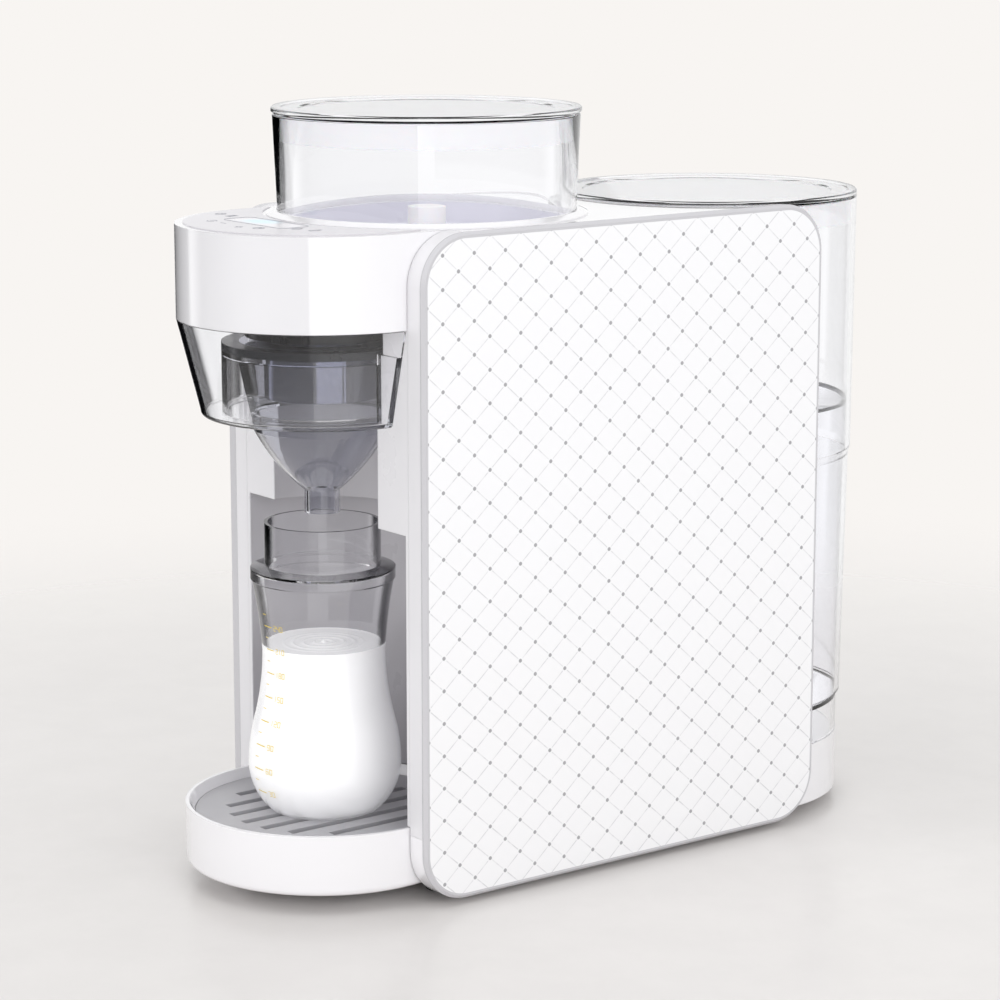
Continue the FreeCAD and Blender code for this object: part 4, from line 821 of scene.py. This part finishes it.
class MAKER_OT_works(bpy.types.Operator):
    """Finish the pieces inside the machine: boards, motor, pump, heater, hoses and valve"""

    bl_idname = "maker.works"
    bl_label = "Inner works"
    bl_options = {"REGISTER", "UNDO"}

    def execute(self, context):
        dark = moulded("inner_dark", shade("2E2F36"), 0.4, 0.3, 0.4 * MM, tone=0.12)
        give(dark, "display_module", "water_pump", "power_inlet", "transformer")
        # The outlet collar is dark plastic, painted near black as painted shadow under the head.
        collar_dark_and_painted_shadow = moulded(
            "collar_black_and_painted_shadow", shade("121216"), 0.3, 0.2, 0.4 * MM, tone=0.12, specular=0.3
        )
        give(collar_dark_and_painted_shadow, "outlet_collar")
        pale = moulded("gear_white", shade("EDEDE6"), 0.4, 0.2, 0.3 * MM)
        give(pale, "drive_gear", "motor_pinion", "board_posts")
        give(pale, "powder_chute", "water_jet", "tank_port")
        valve = moulded("valve_white", shade("F2F2F4"), 0.3, 0.1, 0.3 * MM)
        give(valve, "tank_valve", "valve_cage")
        plated = metal("plated", shade("B4B6BA"))
        give(plated, "dosing_motor", "flow_heater", "heater_bracket")
        give(plated, "board_screws", "valve_spring")
        give(circuit_board("board_green", shade("245C38")), "control_board", "power_board")
        hose = frosted("silicone_hose", shade("E6E8EE"), 0.75)
        give(hose, "supply_hose", "heater_hose", "jet_hose", "port_seal")
        return {"FINISHED"}


class MAKER_OT_hopper(bpy.types.Operator):
    """Build the clear powder hopper with its lid, seal, bowl and agitator"""

    bl_idname = "maker.hopper"
    bl_label = "Powder hopper"
    bl_options = {"REGISTER", "UNDO"}

    def execute(self, context):
        plastic = context.scene.maker_looks.clear
        tint, haze = plastic.tint, plastic.haze
        low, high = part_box("hopper_wall")
        flare, wall, ledge = 2.0 * MM, 1.8 * MM, 2.0 * MM
        top = high.x
        foot = top - flare
        points = [
            (foot - wall, low.z),
            (foot, low.z),
            (top, high.z),
            (top - wall, high.z),
            (foot - wall, low.z + ledge),
        ]
        outline = rounded_outline(points, (0, 0.4 * MM, 0.5 * MM, 0.5 * MM, 0))
        mesh = turned("hopper_glass", outline, HOPPER)
        glass = clear("clear_hopper", tint, haze)
        piece("hopper_glass", mesh, "hopper", glass, ["hopper_wall"])
        bowl = moulded("bowl_lavender", plastic.powder_side, 0.3, 0.1, 0.6 * MM, tone=0.05)
        give(bowl, "hopper_bowl", "dosing_wheel")
        give(frosted("agitator_white", shade("FBFBFC"), 0.95), "agitator")
        # Painted shade: the lid is painted almost black where its rim is seen edge on.
        give(clear("clear_lid", tint, haze, rim=0.9, rim_start=0.84), "hopper_lid")
        give(frosted("seal_frost", plastic.seal, 0.3), "hopper_lid_seal", "tank_lid_seal")
        return {"FINISHED"}


class MAKER_OT_tank(bpy.types.Operator):
    """Finish the clear water tank and its lid, and fill it with water"""

    bl_idname = "maker.tank"
    bl_label = "Water tank"
    bl_options = {"REGISTER", "UNDO"}

    def execute(self, context):
        looks = context.scene.maker_looks
        tint, haze = looks.clear.tint, looks.clear.haze
        give(clear("clear_tank", tint, haze), "water_tank")
        # Painted shade: the tank's lid is painted almost black where its rim is seen edge on.
        give(clear("clear_tank_lid", tint, haze, rim=0.9, rim_start=0.84), "tank_lid")
        wall = wall_of("water_tank", TANK, -1)
        level = looks.liquid.water_level
        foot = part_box("valve_cage")[1].z + 2.7 * MM
        gap = 0.15 * MM
        side = [(radius - gap, height) for radius, height in wall if foot < height < level]
        rim = radius_at(wall, level) - gap
        outline = [(0, foot), (side[0][0] - 0.5 * MM, foot), *side]
        outline += [(rim, level + 0.6 * MM), (rim - 1.2 * MM, level), (0, level)]
        mesh = turned("tank_water", outline, TANK, closed=False)
        # The body of water hardly bends light, so that the tank stays clear from every side; seen
        # edge on it is painted a little darker, as painted shade.
        water = clear("water", shade(CLEAR_WHITE), 0.0, ior=1.03, rim=0.25, rim_start=0.7)
        piece("tank_water", mesh, "tank", water)
        climb, depth, skin = 1.8 * MM, 1.6 * MM, 0.02 * MM
        ring = [
            (rim - depth, level + skin),
            (rim, level + skin),
            (rim, level + climb),
            (rim - 0.3 * MM, level + climb * 0.6),
        ]
        mesh = turned("water_line", ring, TANK)
        # Painted shade: the thin ring of water at the wall is painted almost black wherever it is
        # not seen face on, a painted dark line at the water's surface.
        edge = clear(
            "water_line_painted_shade", shade(CLEAR_WHITE), 0.0, ior=WATER_IOR, rim=0.97, rim_start=0.25
        )
        piece("water_line", mesh, "tank", edge)
        return {"FINISHED"}


class MAKER_OT_drawer(bpy.types.Operator):
    """Finish the clear drawer, the funnel in it, its ring and the mixing cup"""

    bl_idname = "maker.drawer"
    bl_label = "Funnel drawer"
    bl_options = {"REGISTER", "UNDO"}

    def execute(self, context):
        plastic = context.scene.maker_looks.clear
        give(clear("clear_drawer", plastic.tint, plastic.haze), "funnel_drawer")
        # Painted shade: the funnel is painted almost black where it is seen edge on.
        funnel = clear("clear_funnel", shade("E6E7EC"), plastic.haze, rim=0.9, rim_start=0.72)
        give(funnel, "funnel")
        give(moulded("ring_slate", plastic.ring, 0.25, 0.15, 0.5 * MM, tone=0.1), "funnel_ring")
        give(self.smoke(plastic.cup), "mixing_cup")
        return {"FINISHED"}

    def smoke(self, colour):
        """Polished smoke-grey plastic, almost a mirror."""
        finish = Finish("cup_smoke")
        scuffs = finish.noise(10 * MM, detail=3)
        return finish.close(
            finish.surface(
                Base_Color=finish.clouded(PATCH, colour, 0.07),
                Metallic=0.9,
                Roughness=finish.step(scuffs, 0.3, 0.7, 0.06, 0.1),
                Normal=finish.rounded(0.6 * MM),
            )
        )


class MAKER_OT_bottle(bpy.types.Operator):
    """Finish the feeding bottle, fill it with milk and mark its scale"""

    bl_idname = "maker.bottle"
    bl_label = "Feeding bottle"
    bl_options = {"REGISTER", "UNDO"}

    def execute(self, context):
        looks = context.scene.maker_looks
        tint, haze, level = looks.clear.tint, looks.clear.haze, looks.liquid.milk_level
        # Painted shade: above the milk, the bottle is painted almost black where it is seen edge
        # on, for its dark outlines.
        glass = clear("clear_bottle", tint, haze, rim=0.98, rim_start=0.5, rim_foot=level)
        give(glass, "bottle")
        self.pour(looks.liquid)
        self.mark(looks.liquid)
        return {"FINISHED"}

    def pour(self, liquid):
        """The milk, with a raised rim at the glass and ripples round the last drop."""
        wall = wall_of("bottle", NOSE, -1)
        level = liquid.milk_level
        soak, climb = 0.25 * MM, 0.5 * MM
        side = [(radius + soak, height) for radius, height in wall if height < level]
        edge = radius_at(wall, level) + soak
        outline = [(0, wall[0][1] - soak), *side, (edge, level + climb)]
        # Radius and share of the height of each ripple.
        ripples = ((4.6 * MM, 1.0), (9.7 * MM, 1.0), (14.5 * MM, 0.8), (18.6 * MM, 0.5))
        steps = 150
        for step in range(1, steps + 1):
            radius = (edge - 0.4 * MM) * (1 - step / steps)
            meniscus = climb * math.exp(-(edge - radius) / (0.7 * MM))
            rings = liquid.ripple * sum(
                math.exp(-(((radius - crest) / (0.8 * MM)) ** 2)) * share
                for crest, share in ripples
            )
            drop = 1.3 * MM * math.exp(-((radius / (1.1 * MM)) ** 2))
            outline.append((radius, level + meniscus + rings + drop))
        milk = Finish("milk")
        base = milk.clouded(PATCH, liquid.milk, 0.015, detail=2)
        body = milk.surface(
            Base_Color=base,
            Roughness=0.22,
            Specular_IOR_Level=0.3,
            Normal=milk.bump(milk.noise(10 * MM, detail=1), 0.03, 0.1 * MM),
            # Painted light: the milk glows in its own colour.
            Emission_Color=base,
            Emission_Strength=liquid.milk_painted_glow,
        )
        mesh = turned("milk", outline, NOSE, closed=False, sharp=60)
        piece("milk", mesh, "feeding_bottle", milk.close(body))

    def mark(self, liquid):
        """The printed scale, bent round the outside of the bottle."""
        wall = wall_of("bottle", NOSE, 1)
        build = bmesh.new()
        first, gap = 46.0 * MM, 11.2 * MM
        # Angles in degrees round the bottle: the ends of the marks, and the numbers' start.
        start, short_end, long_end, text = -99, -94, -87, -84
        for mark in range(8):
            height = first + gap * mark
            between = height + gap / 2
            self.stroke(build, wall, [(start, height), (long_end, height)], 0.45 * MM)
            self.stroke(build, wall, [(start, between), (short_end, between)], 0.35 * MM)
            self.number(build, wall, str(30 * (mark + 1)), text, height)
        mesh = finished_mesh("bottle_scale", build)
        ink = Finish("scale_print")
        worn = ink.step(ink.noise(3 * MM, detail=3), 0.25, 0.6, 0.75, 1.0)
        base = ink.mix(worn, shade("F4E9B8"), tuple(liquid.mark))
        body = ink.surface(Base_Color=base, Roughness=0.5)
        piece("bottle_scale", mesh, "feeding_bottle", ink.close(body))

    def stroke(self, build, wall, points, width):
        """One printed line between points given as (angle in degrees, height)."""
        steps, lift = 6, 0.06 * MM
        for (a0, z0), (a1, z1) in zip(points, points[1:]):
            corners = []
            for step in range(steps + 1):
                t = step / steps
                angle, height = a0 + (a1 - a0) * t, z0 + (z1 - z0) * t
                reach = radius_at(wall, height)
                along = Vector(((a1 - a0) * math.radians(1) * reach, z1 - z0)).normalized()
                pair = []
                for half in (width / 2, -width / 2):
                    turn = math.radians(angle) - along.y * half / reach
                    rise = height + along.x * half
                    radius = radius_at(wall, rise) + lift
                    x = NOSE.x + radius * math.cos(turn)
                    y = NOSE.y + radius * math.sin(turn)
                    pair.append(build.verts.new((x, y, rise)))
                corners.append(pair)
            for (a, b), (c, d) in zip(corners, corners[1:]):
                build.faces.new((a, c, d, b))

    def number(self, build, wall, text, angle, height):
        """A small number in plain strokes, degrees wide and metres tall."""
        wide, tall = 2.6, 2.4 * MM
        for index, digit in enumerate(text):
            start = angle + index * wide * 1.5
            points = [(start + x * wide, height + z * tall / 2) for x, z in DIGITS[digit]]
            self.stroke(build, wall, points, 0.3 * MM)


class MAKER_OT_controls(bpy.types.Operator):
    """Finish the control film and the display, and print the icons"""

    bl_idname = "maker.controls"
    bl_label = "Controls"
    bl_options = {"REGISTER", "UNDO"}

    def execute(self, context):
        control = context.scene.maker_looks.control
        give(self.film("control_film", control, 0.3, 0.0), "control_overlay")
        give(self.film("display_lit", control, 0.2, 0.12), "display_window")
        self.marks(control)
        return {"FINISHED"}

    def film(self, name, control, roughness, light):
        """Printed film with the display's glow in it."""
        low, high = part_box("display_window")
        glow_x, glow_y = low.x + 16.4 * MM, (low.y + high.y) / 2 + 1.2 * MM
        glow_wide, glow_tall = 15.5 * MM, 9.5 * MM
        film = Finish(name)
        x, y = film.parts(film.place())[:2]
        reach = ((x - glow_x) / glow_wide) ** 2 + ((y - glow_y) / glow_tall) ** 2
        glow = 1 - film.step(reach**0.5, 0.3, 1.0)
        patches = film.step(film.noise(1.6 * MM, detail=1), 0.35, 0.6, 0.75, 1.0)
        sheet = film.clouded(50 * MM, control.film, 0.03, detail=2)
        base = film.mix(glow * patches, sheet, tuple(control.glow))
        grain = film.noise(0.8 * MM, detail=1)
        return film.close(
            film.surface(
                Base_Color=base,
                Roughness=roughness,
                Normal=film.bump(grain, 0.15, 0.03 * MM, film.rounded(0.2 * MM)),
                Emission_Color=base,
                Emission_Strength=light,
            )
        )

    def marks(self, control):
        """The frame of the display and plain icons, printed in thin lines."""
        size = control.icon_size / 2
        low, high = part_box("display_window")
        wide, tall, bend = (high.x - low.x) / 2 + 3 * MM, (high.y - low.y) / 2 + 1.6 * MM, 4 * MM
        edge = []
        for sign_x, sign_y, start in ((1, 1, 0), (-1, 1, 90), (-1, -1, 180), (1, -1, 270)):
            corner = (sign_x * (wide - bend), sign_y * (tall - bend))
            edge += arc(corner, bend, start, start + 90, 8)
        drawings = [("display_frame", [(edge, True)], middle("display_window").xy)]
        for name, (x, y) in ICON_PLACES.items():
            lines = [([p * size for p in points], closed) for points, closed in ICONS[name]]
            drawings.append((name, lines, (x * MM, y * MM)))
        ink = moulded("icon_ink", control.icon, 0.4, 0.1, 0.1 * MM)
        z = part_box("control_overlay")[1].z + 0.02 * MM
        for name, lines, place in drawings:
            build = bmesh.new()
            for points, closed in lines:
                moved = [p + Vector((*place, z)) for p in points]
                ribbon(build, moved, control.line, 0.08 * MM, closed)
            bmesh.ops.recalc_face_normals(build, faces=build.faces)
            piece(name, finished_mesh(name, build), "housing", ink)


class MAKER_OT_studio(bpy.types.Operator):
    """Set up the floor, the lamps and the camera"""

    bl_idname = "maker.studio"
    bl_label = "Studio"
    bl_options = {"REGISTER", "UNDO"}

    def execute(self, context):
        studio = context.scene.maker_looks.studio
        self.floor(studio)
        self.sky(studio)
        self.lamps(studio)
        self.camera(studio)
        context.scene.view_settings.view_transform = "Standard"
        return {"FINISHED"}

    def floor(self, studio):
        """A round floor that fades into the backdrop's colour."""
        outline = [(radius, 0) for radius in (0, 0.2, 0.5, 1.0, 2.0, 4.0)]
        mesh = turned("studio_floor", outline, Vector((0, 0, 0)), closed=False, segments=96)
        finish = Finish("floor")
        x, y = finish.parts(finish.place())[:2]
        far = finish.step((x**2 + y**2) ** 0.5, 0.32, 0.85)
        grain = finish.step(finish.noise(50 * MM, detail=5, roughness=0.65), 0.3, 0.7)
        base = finish.mix(grain, tuple(c * 0.97 for c in studio.floor), tuple(studio.floor))
        body = finish.surface(Base_Color=base, Roughness=0.22, Specular_IOR_Level=0.35)
        back = finish.node("BsdfTransparent", sockets={"Color": (1, 1, 1)})
        mesh.materials.append(finish.close(finish.blend(far, body, back)))
        made = bpy.data.objects.new("studio_floor", mesh)
        bpy.context.scene.collection.objects.link(made)

    def sky(self, studio):
        """Even white light all round, and the pale backdrop where it is seen.

        Gloss and glass show a white room with a dark screen low on the left. Behind the
        machine all of them show it, in front of it only mirror images.
        """
        world = bpy.data.worlds.new("studio_world")
        bpy.context.scene.world = world
        finish = Finish("studio_world", world)
        path = finish.node("LightPath", output="Is Camera Ray")
        glossy = path.output("Is Glossy Ray")
        bent = finish.larger(glossy, path.output("Is Transmission Ray"))
        aim = finish.node("TexCoord", output="Generated")
        leftward = finish.along(aim, VIEW_LEFT)
        behind = 1 - finish.step(finish.along(aim, VIEW_BACK), -0.5, -0.2)
        low = 1 - finish.step(finish.parts(aim)[2], 0.02, 0.06)
        strip = finish.step(leftward, 0.17, 0.2) * (1 - finish.step(leftward, 0.8, 0.86))
        # The depth here is odd straight through any number of glass walls, and even in a
        # mirror image.
        mirror = glossy * (1 - path.output("Ray Depth") % 2)
        screen = finish.step(leftward, 0.08, 0.1) * mirror
        dark = (strip * behind + screen * (1 - behind) * FRONT_SHARE) * low
        room = finish.mix(dark, (1, 1, 1), tuple(studio.flag))
        light, mirrored, backdrop = (
            finish.node("Background", sockets={"Color": colour, "Strength": strength})
            for colour, strength in (
                ((1, 1, 1), studio.sky),
                (room, 1.0),
                (tuple(studio.wall), 1.0),
            )
        )
        unseen = finish.blend(bent, light, mirrored)
        finish.close(finish.blend(path, unseen, backdrop), "OutputWorld")

    def lamps(self, studio):
        """Large soft lamps: a key from the right, and weaker ones above, in front and behind."""
        target = Vector((0, 0, 0.18))
        # Name, place, diameter and power of each lamp.
        for name, place, size, power in (
            ("key_lamp", (1.6, -0.35, 0.55), 1.2, studio.key),
            ("top_lamp", (0.2, -0.3, 1.6), 1.2, studio.top),
            ("fill_lamp", (-0.1, -1.8, 0.3), 1.0, studio.fill),
            ("rear_lamp", (-1.4, 1.1, 0.7), 1.2, studio.rear),
        ):
            lamp = bpy.data.lights.new(name, "AREA")
            lamp.shape = "DISK"
            lamp.size = size
            lamp.energy = power
            made = bpy.data.objects.new(name, lamp)
            made.location = place
            aim = target - Vector(place)
            made.rotation_mode = "QUATERNION"
            made.rotation_quaternion = aim.to_track_quat("-Z", "Y")
            made.visible_glossy = False
            made.visible_transmission = False
            bpy.context.scene.collection.objects.link(made)

    def camera(self, studio):
        """A long lens in front of the nose, to the right and slightly above."""
        data = bpy.data.cameras.new("studio_camera")
        data.lens = studio.lens
        data.sensor_width = 36
        data.clip_start = 0.05
        data.clip_end = 50
        made = bpy.data.objects.new("studio_camera", data)
        made.location = studio.camera_place
        made.rotation_mode = "QUATERNION"
        made.rotation_quaternion = (-Vector(studio.camera_back)).to_track_quat("-Z", "Y")
        bpy.context.scene.collection.objects.link(made)
        bpy.context.scene.camera = made


STEPS = (
    MAKER_OT_shells,
    MAKER_OT_covers,
    MAKER_OT_niche,
    MAKER_OT_works,
    MAKER_OT_hopper,
    MAKER_OT_tank,
    MAKER_OT_drawer,
    MAKER_OT_bottle,
    MAKER_OT_controls,
    MAKER_OT_studio,
)


class MAKER_PT_looks(bpy.types.Panel):
    """Sizes, colours and steps of the machine's looks"""

    bl_idname = "MAKER_PT_looks"
    bl_label = "Formula maker"
    bl_space_type = "VIEW_3D"
    bl_region_type = "UI"
    bl_category = "Formula maker"

    def draw(self, context):
        looks = context.scene.maker_looks
        for name, group in LOOKS.items():
            block = self.layout.box()
            block.label(text=group.__doc__)
            for choice in group.__annotations__:
                block.prop(getattr(looks, name), choice)
        for step in STEPS:
            self.layout.operator(step.bl_idname, text=step.bl_label)


CLASSES = (*LOOKS.values(), MakerLooks, *STEPS, MAKER_PT_looks)


def register():
    """Register the panel, the operators and the settings."""
    for item in CLASSES:
        bpy.utils.register_class(item)
    bpy.types.Scene.maker_looks = PointerProperty(type=MakerLooks)


def unregister():
    """Take everything out again."""
    del bpy.types.Scene.maker_looks
    for item in reversed(CLASSES):
        bpy.utils.unregister_class(item)


def main():
    """Dress the machine."""
    register()
    for step in STEPS:
        group, name = step.bl_idname.split(".")
        getattr(getattr(bpy.ops, group), name)()


if __name__ == "__main__":
    main()
